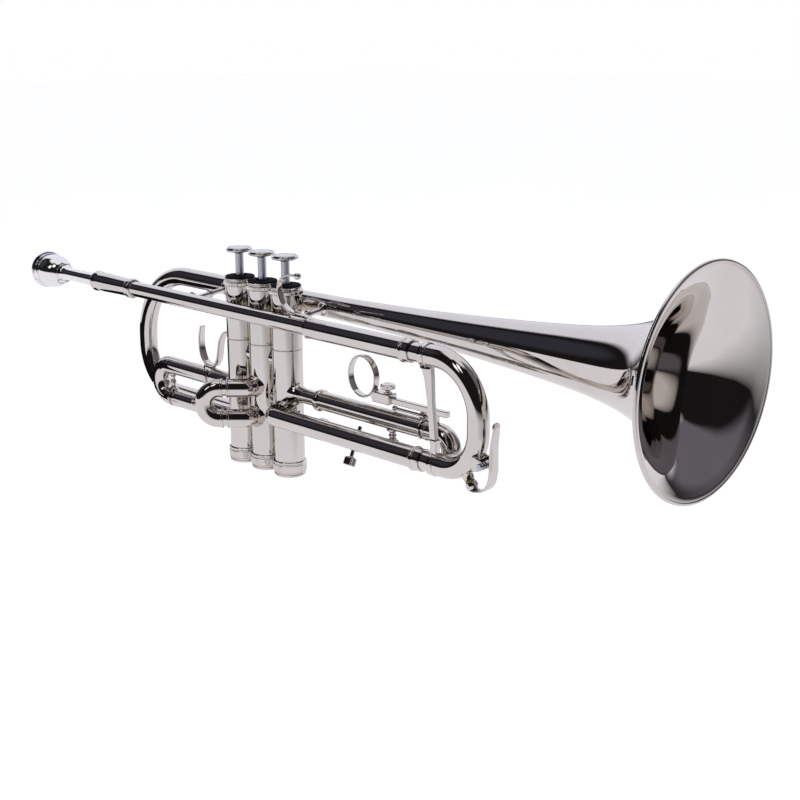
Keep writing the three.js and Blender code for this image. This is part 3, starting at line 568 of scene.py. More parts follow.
def build_leadpipe():
    low, high = span("leadpipe")
    profile = soften(sleeve(4.4, PIPE_R, low.x, high.x), 0.2)
    shape = turned("x", profile, PIPE_AXIS)
    piece("leadpipe_tube", [shape], "leadpipe")


def build_pinky_hook():
    y = PIPE_Y + 0.5
    top = PIPE_Z + PIPE_R
    foot = oval_foot(vec(55.5, y, top), 9.0, 2.9, ((-1.2, 1.0), (0.7, 1.0), (1.5, 0.9), (1.9, 0.7)), 40)
    curve = stations_through(shifted(y, [
        (60, 0, top + 1.2), (54, 0, top + 1.5), (47, 0, top + 2.6), (40.5, 0, top + 6.8),
        (37.2, 0, top + 13.5), (37.8, 0, top + 19), (41.2, 0, top + 22.6), (46.5, 0, top + 24.4),
        (53, 0, top + 24.8),
    ]), 6)
    count = len(curve) - 1
    widths = [4.8 - 2.6 * (i / count) ** 1.6 for i in range(count + 1)]
    tip = turned("x", soften([
        (0, 51.6), (1.4, 51.9), (2.1, 53.2), (2.1, 54.8), (1.3, 56.0), (0, 56.3),
    ], 0.5), (0, y, top + 24.8), 28)
    piece("little_finger_hook", [foot, strip(curve, widths, 1.5), tip], "pinky_hook")


# --- main tuning slide


def end_bead(start, end, radius):
    """Profile of a narrow bead, then a plain sleeve, at the end of an outer tube."""
    bead = smooth_curve(shifted(start, [
        (radius, -0.5), (radius + 0.2, -0.1), (radius + 0.85, 0.4), (radius + 1.05, 1.2),
        (radius + 0.85, 2.0), (radius + 0.45, 2.6),
    ]), 4)
    return bead + [(radius + 0.4, start + 3.0), (radius + 0.4, end - 0.3), (radius + 0.1, end)]


def build_main_outer_tubes():
    low, high = span("main_slide_upper_outer_tube")
    start, end = low.x, high.x
    bore = 5.65
    profile = shifted(start, [(PIPE_R - 0.1, 0), (6.2, 0), (6.55, 0.4), (6.55, 1.3), (OUTER_R, 1.9)])
    profile += end_bead(end - 7, end, OUTER_R)
    profile += [(bore, end), (bore, start + 11.6), (PIPE_R - 0.1, start + 10.6)]
    upper = turned("x", profile, PIPE_AXIS, 72)
    piece("main_upper_outer_tube", [upper], "main_slide_upper_outer_tube")

    end = span("main_slide_lower_outer_tube")[1].x
    port_x = VALVES[2] + 3.4
    bend = pipe(route([
        ((port_x, -PORT_DEPTH, LOWER_Z),), ((port_x, PIPE_Y, LOWER_Z), 7.2),
        ((end - 6, PIPE_Y, LOWER_Z),),
    ], 4), OUTER_R, bore, 64)
    bend = saddled(bend, VALVES[2], "y")
    profile = end_bead(end - 7.5, end, OUTER_R - 0.02)
    profile += [(bore, end), (bore, end - 8), (OUTER_R - 0.3, end - 8.1)]
    ring = turned("x", profile, (0, PIPE_Y, LOWER_Z))
    flange = port_flange("y", -PORT_DEPTH, -CASING_R - 2.6, OUTER_R, (port_x, 0, LOWER_Z))
    flange = saddled(flange, VALVES[2], "y")
    piece("main_lower_outer_tube", [bend, ring, flange], "main_slide_lower_outer_tube")


def port_flange(axis, inner, outer, radius, place):
    """A small flare where a tube is brazed into a casing."""
    side = 1 if outer > inner else -1
    profile = [
        (radius - 0.2, inner), (radius + 1.5, inner), (radius + 0.85, inner + side * 1.3),
        (radius + 0.3, inner + side * 2.6), (radius + 0.02, outer), (radius - 0.2, outer),
    ]
    return turned(axis, profile, place, 56)


def saddled(shape, casing_x, axis, reach=4.0):
    """A shape whose end, along X or Y, follows the round of the casing at casing_x."""
    along = "xy".index(axis)
    across = 1 - along
    centre = vec(casing_x, 0, 0)
    points, faces = shape
    bent = []
    for point in points:
        offset = point - centre
        side = math.copysign(1, offset[along])
        drop = CASING_R - math.sqrt(CASING_R ** 2 - min(abs(offset[across]), CASING_R * 0.95) ** 2)
        near = 1 - min(max(abs(offset[along]) - CASING_R, 0) / reach, 1)
        end = point.copy()
        end[along] -= side * drop * near
        bent.append(end)
    return bent, faces


def double_band(axis_points, radius):
    """Profile of a ferrule with two beads and a groove between."""
    start, end = axis_points
    third = (end - start) / 3
    return [
        (radius - 1.2, start), (radius + 0.2, start), (radius + 0.55, start + 0.35),
        (radius + 0.6, start + third * 0.7), (radius + 0.3, start + third * 1.1),
        (radius + 0.3, start + third * 1.9), (radius + 0.6, start + third * 2.3),
        (radius + 0.55, end - 0.35), (radius + 0.1, end), (radius - 1.2, end),
    ]


MAIN_BANDS = {"upper": (158.8, 163.4), "lower": (166.0, 170.5)}
MAIN_CROOK_X = 199.3
MAIN_LEG_X = 96
MAIN_RADII = (30, 24)


def build_main_crook():
    upper, lower = MAIN_BANDS["upper"][0], MAIN_BANDS["lower"][0]
    bend = pipe(route([
        ((upper + 1, PIPE_Y, PIPE_Z),), ((MAIN_CROOK_X, PIPE_Y, PIPE_Z), MAIN_RADII[0]),
        ((MAIN_CROOK_X, PIPE_Y, LOWER_Z), MAIN_RADII[1]), ((lower + 1, PIPE_Y, LOWER_Z),),
    ], 3), CROOK_R, AIR_R, 64)
    shapes = [bend]
    for side, z in zip(SIDES, (PIPE_Z, LOWER_Z)):
        start, end = MAIN_BANDS[side]
        place = (0, PIPE_Y, z)
        shapes.append(turned("x", double_band((start, end), CROOK_R), place))
        leg = soften(sleeve(AIR_R, LEG_R, MAIN_LEG_X, start + 1), 0.2)
        shapes.append(turned("x", leg, place))
    shapes.append(radial([(0, 28.6), (4.1, 29.0), (3.4, 30.2), (3.2, 31.4), (3.2, 32.4), (2.6, 32.6),
                          (1.7, 32.6), (1.7, 30.5), (0, 30.5)]))
    piece("main_slide_bow", shapes, "main_slide_crook", "main_slide")


def build_main_brace():
    top = PIPE_Z - CROOK_R - 0.3
    bar = plate([
        (157.6, top + 0.8), (160.3, 30), (162.4, 18), (164.0, 4), (164.8, -3.5), (165.9, -5.2),
        (169.1, -5.2), (168.7, -3.5), (168.0, 4), (166.6, 18), (166.1, 30), (165.4, top + 0.8),
    ], PIPE_Y, 3.0, 0.5)
    head = turned("z", soften([(0, -1), (4.6, -1), (4.2, 0.6), (3.2, 1.4), (0, 1.4)], 0.5),
                  (161.6, PIPE_Y, top), 40)
    foot = block((4.6, 4.0, 10.2), (167.6, PIPE_Y, -9.7), 0.6, "z")
    collar = block((5.4, 4.8, 1.6), (167.6, PIPE_Y, -5.3), 0.5, "z")
    piece("main_slide_strut", [bar, head, foot, collar], "main_slide_brace", "main_slide")


# --- water key

NIPPLE_ANGLE = -0.98
KEY_PIVOT = (205.9, -10.1)


def radial(profile, sides=36):
    """A turned shape whose axis points out of the lower bend of the main crook."""
    radius = MAIN_RADII[1]
    matrix = Matrix.Translation((MAIN_CROOK_X - radius, PIPE_Y, LOWER_Z + radius))
    matrix = matrix @ Matrix.Rotation(-NIPPLE_ANGLE, 4, "Y")
    return placed(turned("x", profile, (0, 0, 0), sides), matrix)


def build_water_key():
    px, pz = KEY_PIVOT
    cheeks = [
        plate(shifted(pz, [
            (px - 5.6, -3.4), (px - 1.5, -3.2), (px + 1.2, -2.2), (px + 2.2, 0), (px + 1.2, 2.1),
            (px - 1.5, 3.6), (px - 5.6, 4.4),
        ]), y, 1.2, 0.25)
        for y in (PIPE_Y - 5.8, PIPE_Y + 3.6)
    ]
    base = block((2.6, 10.4, 8.2), (px - 4.7, PIPE_Y - 1.1, pz + 0.4), 0.5, "z")
    piece("water_key_bracket", [*cheeks, base], "water_key_saddle", "main_slide")

    pin = turned("y", soften(shifted(PIPE_Y, [
        (0, -7.2), (1.7, -7.2), (1.7, -6.5), (1.0, -6.4), (1.0, 4.8), (0, 4.8),
    ]), 0.25), (px, 0, pz), 28)
    piece("water_key_hinge_pin", [pin], "water_key_pin", "main_slide", finish="stem")

    y = PIPE_Y - 0.2
    curve = stations_through(shifted(y, [
        (212.2, 0, 12.4), (211.8, 0, 8), (210.8, 0, 1), (210.6, 0, -8), (210.4, 0, -15),
        (208.6, 0, -21.2), (204.4, 0, -25.2), (198.8, 0, -26.8), (195.6, 0, -26.6),
    ]), 5)
    count = len(curve) - 1
    widths = [7.4 - 2.6 * abs(2 * i / count - 1.1) ** 2.4 for i in range(count + 1)]
    lever = strip(curve, widths, 1.7)
    thumb_pad = turned("x", soften([(0, -0.7), (2.9, -0.7), (2.9, 0.7), (0, 0.7)], 0.5),
                       (212.0, y, 11.6), 32)
    knuckle = soften(sleeve(1.25, 2.3, PIPE_Y - 2.1, PIPE_Y + 2.7), 0.25)
    knuckle = turned("y", knuckle, (px, 0, pz), 32)
    web = block((4.2, 3.2, 3.2), (px + 2.9, PIPE_Y + 0.3, pz), 0.5, "x")
    cup = radial(soften([
        (0, 36.3), (2.9, 36.3), (2.9, 34.2), (3.5, 34.2), (3.7, 36.6), (2.8, 38.4), (0, 38.6),
    ], 0.3))
    piece("water_key_arm", [lever, thumb_pad, knuckle, web, cup], "water_key_lever", "water_key")

    cork = radial(soften([(0, 32.8), (2.7, 32.8), (2.8, 36.2), (0, 36.2)], 0.3))
    piece("water_key_pad", [cork], "water_key_cork", "water_key", finish="cork")

    turns, pitch, coil_r = 2.25, 0.8, 1.95
    steps = 40
    coil = [(px - coil_r + 0.5, PIPE_Y - 4.6, pz + 7.2), (px - coil_r, PIPE_Y - 4.6, pz + 3.4)]
    for i in range(steps + 1):
        angle = turns * TURN * i / steps
        coil.append((px - coil_r * math.cos(angle), PIPE_Y - 4.6 + pitch * turns * i / steps,
                     pz - coil_r * math.sin(angle)))
    piece("water_key_coil_spring", [rod(stations_through(coil, 2), 0.35, 10)], "water_key_spring",
          "main_slide", finish="stem")


# --- valves

SEAM_Z = 21.0
TOP_CAP_Z = (56.0, 59.5, 61.0)
BOTTOM_CAP_Z = (-62.6, -52.4)
BUTTON_Z = 77.4
MIDDLE_VALVE = "valve_2"


def build_casing(valve, x):
    bottom, top = BOTTOM_CAP_Z[1], TOP_CAP_Z[0]
    seam_gap = 0.35
    profile = soften([
        (8.6, bottom - 6), (9.5, bottom - 6), (9.5, bottom - 0.1), (CASING_R, bottom - 0.1),
        (CASING_R, SEAM_Z - seam_gap), (CASING_R - 0.45, SEAM_Z - seam_gap * 0.3),
        (CASING_R - 0.45, SEAM_Z + seam_gap * 0.3), (CASING_R, SEAM_Z + seam_gap),
        (CASING_R, top - 0.1), (9.5, top - 0.1), (9.5, top + 2.9), (9.1, top + 2.9),
        (9.1, SEAM_Z), (8.6, SEAM_Z),
    ], 0.12)
    shapes = [turned("z", profile, (x, 0, 0), 96)]
    shapes += casing_links() if valve == MIDDLE_VALVE else []
    piece(f"{valve}_body", shapes, f"{valve}_casing")


def casing_links():
    """Crossover tubes and a spacer between the casings."""
    links = []
    for z, radius in ((12, 4.9), (-13, 4.9), (-45, 2.4)):
        for side in (-1, 1):
            start, end = side * (CASING_R - 0.5), side * (22.6 - CASING_R + 0.3)
            links.append(turned("x", [(0, start), (radius, start), (radius, end), (0, end)],
                                (0, 0, z), 40))
    return links


def build_caps(valve, x):
    low, mid, top = TOP_CAP_Z
    profile = [
        (3.3, low + 3.3), (9.0, low + 3.2), (9.9, low + 1.5), (9.9, low), (10.4, low),
        (10.75, low + 0.3), (10.8, low + 0.4, 1), (10.8, mid - 1.3, 1), (10.75, mid - 1.2),
        (10.3, mid - 0.9), (9.95, mid - 0.75), (9.9, mid - 0.5), (10.15, mid - 0.3),
        (10.15, mid + 0.1), (9.9, mid + 0.3), (10.0, mid + 0.55), (10.15, mid + 1.0),
        (10.15, top - 0.3), (10.0, top - 0.05), (9.7, top), (3.3, top),
    ]
    cap = turned("z", profile, (x, 0, 0), 144, 0.22)
    piece(f"{valve}_upper_cap", [cap], f"{valve}_top_cap", sharp=32)

    felt = turned("z", soften(shifted(top, [
        (4.1, 0), (9.5, 0), (9.5, 0.7), (9.1, 1.0), (4.1, 1.0),
    ]), 0.3), (x, 0, 0))
    piece(f"{valve}_felt", [felt], finish="felt")

    bottom, up = BOTTOM_CAP_Z
    profile = [
        (1.5, bottom), (9.4, bottom), (9.9, bottom + 0.2), (10.25, bottom + 0.7), (10.2, bottom + 1.6),
        (9.75, bottom + 2.0), (9.75, bottom + 2.5), (10.3, bottom + 2.9), (10.8, bottom + 3.2),
        (10.8, bottom + 3.25, 1), (10.8, up - 2.6, 1), (10.8, up - 2.55), (10.4, up - 2.2),
        (10.4, up - 1.6), (10.75, up - 1.2), (10.75, up - 0.4), (10.3, up), (9.85, up),
        (9.85, bottom + 2), (1.5, bottom + 1.9),
    ]
    cap = turned("z", profile, (x, 0, 0), 144, 0.22)
    piece(f"{valve}_lower_cap", [cap], f"{valve}_bottom_cap", sharp=32)


def build_button(valve, x):
    stem = turned("z", soften([
        (0, 45.8), (1.8, 45.8), (1.8, 47.3), (2.7, 47.3), (2.7, BUTTON_Z - 1.4), (3.3, BUTTON_Z - 0.5),
        (3.6, BUTTON_Z - 0.3), (0, BUTTON_Z - 0.3),
    ], 0.25), (x, 0, 0), 48)
    piece(f"{valve}_push_stem", [stem], f"{valve}_stem", valve, finish="stem")

    low, top = BUTTON_Z, span(f"{valve}_button")[1].z
    profile = [
        (0, low - 0.2), (3.4, low - 0.2), (5.6, low), (7.4, low + 0.2), (8.2, low + 0.6),
        (8.55, low + 1.15), (8.55, low + 1.6), (8.3, low + 2.0), (7.95, low + 2.25), (7.6, top),
        (7.2, top), (7.05, top - 0.2), (7.05, low + 1.7), (0, low + 1.7),
    ]
    cup = turned("z", profile, (x, 0, 0), 72)
    piece(f"{valve}_finger_button", [cup], f"{valve}_button", valve, sharp=50)

    top = span(f"{valve}_pearl")[1].z
    profile = [
        (0, low + 1.8), (6.95, low + 1.8), (6.95, top - 0.7), (6.7, top - 0.45), (5.6, top - 0.2),
        (3.5, top - 0.3), (0, top - 0.38),
    ]
    inlay = turned("z", profile, (x, 0, 0))
    piece(f"{valve}_pearl_inlay", [inlay], f"{valve}_pearl", valve, finish="pearl",
          sharp=50)


def build_spring(valve, x):
    low, high = span(f"{valve}_spring")
    turns, steps, wire = 6, 132, 0.45
    points = []
    for i in range(steps + 1):
        angle = turns * TURN * i / steps
        z = low.z + wire + (high.z - low.z - 2 * wire) * i / steps
        points.append((x + 5 * math.cos(angle), 5 * math.sin(angle), z))
    coil = piece(f"{valve}_coil_spring", [rod(stations_through(points, 1), wire, 10)],
                 f"{valve}_spring", finish="stem")
    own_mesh(coil)


def build_valves():
    for number, x in enumerate(VALVES, 1):
        valve = f"valve_{number}"
        build_casing(valve, x)
        build_caps(valve, x)
        build_button(valve, x)
        build_spring(valve, x)


# --- bell

BELL_CURVE = [
    (6.4, -22), (7.0, 20), (7.5, 60), (9.1, 110), (11.0, 150), (13.5, 188), (16.0, 220), (18.6, 245),
    (22.4, 266), (27.6, 282), (34.6, 295), (42.6, 304), (50.6, 310), (57.6, 313.2), (60.2, 313.9),
]


def build_bell():
    rim_x = span("bell")[1].x
    outside = smooth_curve(BELL_CURVE, 8)
    wall = 0.75
    inside = []
    for i, (r, x) in enumerate(outside):
        r0, x0 = outside[max(i - 1, 0)]
        r1, x1 = outside[min(i + 1, len(outside) - 1)]
        length = math.hypot(r1 - r0, x1 - x0)
        inside.append((r - wall * (x1 - x0) / length, x + wall * (r1 - r0) / length))
    bead = shifted(rim_x, [
        (60.6, -2.1), (61.2, -2.1), (61.6, -1.6), (61.7, -1.0), (61.5, -0.4), (61.0, 0), (60.3, 0),
        (59.8, -0.25),
    ])
    profile = outside + bead + inside[::-1]
    shape = turned("x", profile, BELL_AXIS, 144)
    piece("bell_flare", [shape], "bell", sharp=60)


def build_bell_bow():
    tail = span("bell_bow")[1].x
    left = span("bell_bow")[0].x + BOW_R
    low_z = span("bell_bow")[0].z + BOW_R
    port_x = -24.6
    bow = pipe(route([
        ((tail, BELL_Y, BELL_Z),), ((left, BELL_Y, BELL_Z), 50), ((left, BELL_Y, low_z), 32),
        ((port_x, BELL_Y, low_z), 8), ((port_x, PORT_DEPTH, low_z),),
    ], 3), BOW_R, 5.5, 64)
    bow = saddled(bow, VALVES[0], "y")
    flange = port_flange("y", PORT_DEPTH, CASING_R + 2.6, BOW_R, (port_x, 0, low_z))
    flange = saddled(flange, VALVES[0], "y")
    piece("bell_bow_tube", [bow, flange], "bell_bow")

    start, end = span("bell_bow_ferrule")[0].x, span("bell_bow_ferrule")[1].x
    profile = [
        (BOW_R - 0.1, start), (BOW_R + 0.45, start), (BOW_R + 0.75, start + 0.4),
        (BOW_R + 0.75, start + 1.3), (BOW_R + 0.4, start + 1.8), (BOW_R + 0.4, end - 1.8),
        (BOW_R + 0.75, end - 1.3), (BOW_R + 0.75, end - 0.4), (BOW_R + 0.45, end),
        (BOW_R - 0.1, end),
    ]
    piece("bell_ferrule", [turned("x", profile, BELL_AXIS)], "bell_bow_ferrule")


def build_bell_braces():
    for name, node, x, bell_radius in (
            ("front_bell_brace", "bell_brace_front", 42, 7.3),
            ("rear_bell_brace", "bell_brace_rear", -56, BOW_R)):
        start, end = vec(x, PIPE_Y, PIPE_Z), vec(x, BELL_Y, BELL_Z)
        length = (end - start).length
        near, far = PIPE_R, length - bell_radius
        profile = smooth_curve([
            (0, near - 1.0), (4.4, near - 1.0), (4.3, near + 0.4), (3.4, near + 1.3), (2.0, near + 2.4),
            (1.8, near + 4), (1.8, length / 2 - 2.4), (2.6, length / 2 - 1.2), (2.9, length / 2),
            (2.6, length / 2 + 1.2), (1.8, length / 2 + 2.4), (1.8, far - 4), (2.0, far - 2.4),
            (3.4, far - 1.3), (4.3, far - 0.4), (4.4, far + 1.0), (0, far + 1.0),
        ], 3)
        tilt = math.atan2(end.z - start.z, end.y - start.y)
        matrix = Matrix.Translation(start) @ Matrix.Rotation(tilt, 4, "X")
        piece(name, [placed(turned("y", profile, (0, 0, 0), 40), matrix)], node)


# --- valve slides


def lipped_sleeve(start, end, radius, bore, bead=0.35):
    """Profile of a straight sleeve with a thin bead at its open end, which is end."""
    side = 1 if end > start else -1
    return [
        (bore, start), (radius, start), (radius, end - side * 1.5), (radius + bead, end - side * 1.1),
        (radius + bead, end - side * 0.4), (radius + 0.05, end), (bore, end),
    ]


FIRST_CROOK_X = -115.4
FIRST_OUTER_ENDS = (-54, -97)
FIRST_SLEEVE_ENDS = (-56.5, -99.5)
FIRST_LEG_ENDS = (-37, -72)


def build_first_slide():
    for side, z, end in zip(SIDES, FIRST_Z, FIRST_OUTER_ENDS):
        start = VALVES[0] - PORT_DEPTH
        tube = turned("x", soften(lipped_sleeve(start, end, SLIDE_R, SLIDE_BORE_R), 0.2), (0, 0, z))
        flange = port_flange("x", start, start - 3.4, SLIDE_R, (0, 0, z))
        shapes = [saddled(shape, VALVES[0], "x") for shape in (tube, flange)]
        piece(f"first_{side}_outer_tube", shapes, f"first_slide_{side}_outer_tube")

    shapes = [pipe(route([
        ((FIRST_SLEEVE_ENDS[0], 0, FIRST_Z[0]),), ((FIRST_CROOK_X, 0, FIRST_Z[0]), 11.4),
        ((FIRST_CROOK_X, 0, FIRST_Z[1]), 11.4), ((FIRST_SLEEVE_ENDS[1], 0, FIRST_Z[1]),),
    ], 4), SLIDE_R, SLIDE_AIR_R, 56)]
    for z, sleeve_end, leg_end in zip(FIRST_Z, FIRST_SLEEVE_ENDS, FIRST_LEG_ENDS):
        leg = soften(sleeve(SLIDE_AIR_R, SLIDE_LEG_R, sleeve_end - 2, leg_end), 0.15)
        shapes.append(turned("x", leg, (0, 0, z), 56))
        band = shifted(sleeve_end, [
            (SLIDE_R - 0.6, -3.4), (SLIDE_R + 0.3, -3.2), (SLIDE_R + 0.4, -1), (SLIDE_R + 0.3, 0.1),
            (SLIDE_R - 0.6, 0.1),
        ])
        shapes.append(turned("x", soften(band, 0.25), (0, 0, z), 56))
    shapes.append(slide_post(-101, 0, FIRST_Z))
    piece("first_slide_bow", shapes, "first_slide_crook", "first_slide")


def slide_post(x, y, heights, waist=1.5):
    """A turned post between two tubes one above the other."""
    top, low = heights[0] - SLIDE_R, heights[1] + SLIDE_R
    centre = (top + low) / 2
    profile = smooth_curve([
        (0, low - 0.9), (3.6, low - 0.9), (3.3, low + 0.5), (2.2, low + 1.4), (waist, low + 2.4),
        (waist, centre - 1.2), (waist + 0.7, centre), (waist, centre + 1.2), (waist, top - 2.4),
        (2.2, top - 1.4), (3.3, top - 0.5), (3.6, top + 0.9), (0, top + 0.9),
    ], 3)
    return turned("z", profile, (x, y, 0), 36)


def build_thumb_saddle():
    bottom = FIRST_Z[0] + SLIDE_R + 1.9
    curve = stations_through([
        (-64.8, 0, 21.8), (-66.2, 0, 15), (-66.2, 0, 7), (-64.2, 0, 0.6), (-60, 0, bottom + 0.8),
        (-55.5, 0, bottom + 0.2), (-51, 0, bottom + 1.2), (-47.4, 0, 2.4), (-45.8, 0, 9),
        (-44.4, 0, 15), (-41.6, 0, 19.6), (-38.8, 0, 21.6),
    ], 5)
    count = len(curve) - 1
    widths = [5.6 - 1.2 * abs(2 * i / count - 1) ** 4 for i in range(count + 1)]
    levels = ((-2.6, 1.0), (-0.4, 1.0), (0.5, 0.85), (0.9, 0.6))
    foot = oval_foot(vec(-58.5, 0, bottom - 0.6), 5.6, 3.4, levels, 36)
    piece("thumb_rest", [strip(curve, widths, 1.6), foot], "thumb_saddle", "first_slide")


SECOND_CORNER_Y = -16
SECOND_OUTER_END = 12.7
SECOND_SLEEVE_END = 15.2
SECOND_CROOK_END = 27.6


def second_frame():
    """The second slide's own frame: +X along its pull, from its upper corner's axis."""
    return Matrix.Translation((0, SECOND_CORNER_Y, 0)) @ Matrix.Rotation(math.radians(225), 4, "Z")


def second_point(distance, z):
    return second_frame() @ vec(distance, 0, z)


def build_second_slide():
    matrix = second_frame()
    for side, z in zip(SIDES, SECOND_Z):
        bend = pipe(route([
            ((0, -PORT_DEPTH, z),), ((0, SECOND_CORNER_Y, z), 6.6),
            (second_point(SECOND_OUTER_END - 1, z),),
        ], 4), SLIDE_R, SLIDE_BORE_R, 56)
        bend = saddled(bend, VALVES[1], "y")
        end_band = placed(turned("x", soften(
            lipped_sleeve(SECOND_OUTER_END - 2.5, SECOND_OUTER_END, SLIDE_R + 0.05, SLIDE_BORE_R), 0.15),
            (0, 0, z), 56), matrix)
        flange = port_flange("y", -PORT_DEPTH, -CASING_R - 2.4, SLIDE_R, (0, 0, z))
        flange = saddled(flange, VALVES[1], "y")
        piece(f"second_{side}_outer_tube", [bend, end_band, flange], f"second_slide_{side}_outer_tube")

    radius = (SECOND_Z[0] - SECOND_Z[1]) / 2 - 0.01
    shapes = [pipe(route([
        (second_point(SECOND_SLEEVE_END, SECOND_Z[0]),),
        (second_point(SECOND_CROOK_END, SECOND_Z[0]), radius),
        (second_point(SECOND_CROOK_END, SECOND_Z[1]), radius),
        (second_point(SECOND_SLEEVE_END, SECOND_Z[1]),),
    ], 4), SLIDE_R, SLIDE_AIR_R, 56)]
    for z in SECOND_Z:
        leg = soften(sleeve(SLIDE_AIR_R, SLIDE_LEG_R, 4.5, SECOND_SLEEVE_END + 1.5), 0.15)
        band = soften(shifted(SECOND_SLEEVE_END, [
            (SLIDE_R - 0.6, 0), (SLIDE_R + 0.35, 0), (SLIDE_R + 0.35, 1.2), (SLIDE_R + 0.05, 1.5),
            (SLIDE_R - 0.6, 1.5),
        ]), 0.2)
        for profile in (leg, band):
            shapes.append(placed(turned("x", profile, (0, 0, z), 56), matrix))
    middle_z = sum(SECOND_Z) / 2
    knob_start = SECOND_CROOK_END + SLIDE_R
    knob = soften(shifted(knob_start, [
        (0, -1), (1.6, -1), (1.5, 0.4), (2.3, 0.9), (2.3, 1.7), (1.6, 2.0), (0, 2.0),
    ]), 0.3)
    shapes.append(placed(turned("x", knob, (0, 0, middle_z), 32), matrix))
    piece("second_slide_bow", shapes, "second_slide_crook", "second_slide")


THIRD_PORT_R = 4.9
THIRD_OUTER_X = (52, 143)
THIRD_SLEEVE_X = 145.5
THIRD_CROOK_X = 163.7
THIRD_LEG_X = 92
RAIL_Z = 4.7
STOP_Z = 0.35


def third_outer_tube(z):
    start, end = THIRD_OUTER_X
    neck = VALVES[2] + PORT_DEPTH
    flare = shifted(neck, [
        (THIRD_PORT_R + 3.2, 0), (THIRD_PORT_R + 1.6, 1.6), (THIRD_PORT_R + 0.6, 3.6),
        (THIRD_PORT_R + 0.1, 6.4), (THIRD_PORT_R, 8),
    ])
    ring = smooth_curve(shifted(start, [
        (THIRD_PORT_R, -0.6), (THIRD_PORT_R + 0.3, -0.1), (6.7, 0.5), (6.95, 1.3), (6.95, 2.7),
        (6.5, 3.6), (SLIDE_R, 4.4),
    ]), 4)
    profile = smooth_curve(flare, 3) + ring + [
        (SLIDE_R, end - 1.6), (SLIDE_R + 0.35, end - 1.2), (SLIDE_R + 0.35, end - 0.4),
        (SLIDE_R + 0.1, end), (SLIDE_BORE_R, end), (SLIDE_BORE_R, start + 5), (4.3, start + 4),
        (4.3, neck),
    ]
    return saddled(turned("x", profile, (0, 0, z)), VALVES[2], "x")


def lyre_frame():
    return Matrix.Translation((92.7, -8.2, THIRD_Z[1])) @ Matrix.Rotation(-0.428, 4, "X")


def build_third_slide():
    eye = [
        turned("x", soften(sleeve(1.3, 2.2, 140, 143), 0.25), (0, 0, STOP_Z), 32),
        block((2.6, 2.4, 1.6), (141.5, 0, STOP_Z - 2.4), 0.3, "z"),
    ]
    piece("third_upper_outer_tube", [third_outer_tube(THIRD_Z[0]), *eye], "third_slide_upper_outer_tube")

    holder = placed(block((6.4, 5.2, 6.8), (0, 0, 0), 0.7, "z"), lyre_frame())
    piece("third_lower_outer_tube", [third_outer_tube(THIRD_Z[1]), holder],
          "third_slide_lower_outer_tube")

    piece("third_slide_post", [slide_post(116.5, 0, THIRD_Z, 1.9)], "third_slide_brace")

    radius = (THIRD_Z[0] - THIRD_Z[1]) / 2 - 0.01
    shapes = [pipe(route([
        ((THIRD_SLEEVE_X, 0, THIRD_Z[0]),), ((THIRD_CROOK_X, 0, THIRD_Z[0]), radius),
        ((THIRD_CROOK_X, 0, THIRD_Z[1]), radius), ((THIRD_SLEEVE_X, 0, THIRD_Z[1]),),
    ], 4), SLIDE_R, SLIDE_AIR_R, 56)]
    for z in THIRD_Z:
        leg = soften(sleeve(SLIDE_AIR_R, SLIDE_LEG_R, THIRD_LEG_X, THIRD_SLEEVE_X + 1.5), 0.15)
        band = soften(shifted(THIRD_SLEEVE_X, [
            (SLIDE_R - 0.6, 0), (SLIDE_R + 0.35, 0), (SLIDE_R + 0.35, 1.3), (SLIDE_R + 0.05, 1.7),
            (SLIDE_R - 0.6, 1.7),
        ]), 0.2)
        shapes += [turned("x", profile, (0, 0, z), 56) for profile in (leg, band)]
    piece("third_slide_bow", shapes, "third_slide_crook", "third_slide")


def build_third_slide_rail():
    low, high = span("third_slide_rail")
    rail = block((high.x - low.x, 3.6, 3.6), ((low.x + high.x) / 2, 0, RAIL_Z), 0.5, "x")
    foot = block((6, 3.6, 5.6), (150, 0, 1.0), 0.6, "z")
    stop = turned("x", soften([
        (0, 117.3), (1.45, 117.3), (1.45, 119.5), (1.0, 119.6), (1.0, 150), (0, 150),
    ], 0.25), (0, 0, STOP_Z), 24)
    piece("third_slide_guide_rail", [rail, foot, stop], "third_slide_rail", "third_slide")


def build_finger_ring():
    centre_x, centre_z = 92, 15.2
    half_x, half_z, band, width = 11.7, 13.0, 1.3, 4.6
    rings = []
    for i in range(80):
        angle = TURN * i / 80
        out = vec(math.cos(angle) / half_x, 0, math.sin(angle) / half_z).normalized()
        at = vec(centre_x + (half_x - band / 2) * math.cos(angle), 0,
                 centre_z + (half_z - band / 2) * math.sin(angle))
        rings.append([at + out * a + vec(0, b, 0)
                      for a, b in rounded_box(band / 2, width / 2, band * 0.45, 4)])
    oval = skin(rings, closed=True)
    neck = plate([(99.2, 4.0), (103.6, 2.6), (103.6, 8.2), (102.8, 9.4)], 0, 3.4, 0.3)
    slider = block((14, 7.4, 6.4), (109.5, 0, RAIL_Z + 0.6), 0.7, "x")
    boss = turned("z", soften([(0, 7.6), (2.6, 7.6), (2.6, 9.3), (0, 9.3)], 0.3), (112.6, 0, 0), 32)
    piece("third_finger_ring", [oval, neck, slider, boss], "finger_ring", "finger_ring")

    top = span("ring_clamp_screw")[1].z
    profile = [
        (0, 6.9), (1.3, 6.9), (1.3, top - 4.2), (2.2, top - 3.5), (2.4, top - 3.1), (4.2, top - 2.9),
        (4.6, top - 2.6), (4.6, top - 2.59, 1), (4.6, top - 0.8, 1), (4.6, top - 0.79),
        (4.2, top - 0.35), (3.2, top), (0, top),
    ]
    screw = turned("z", profile, (112.6, 0, 0), 72, 0.2)
    piece("ring_thumb_screw", [screw], "ring_clamp_screw", "ring_clamp_screw", sharp=32)


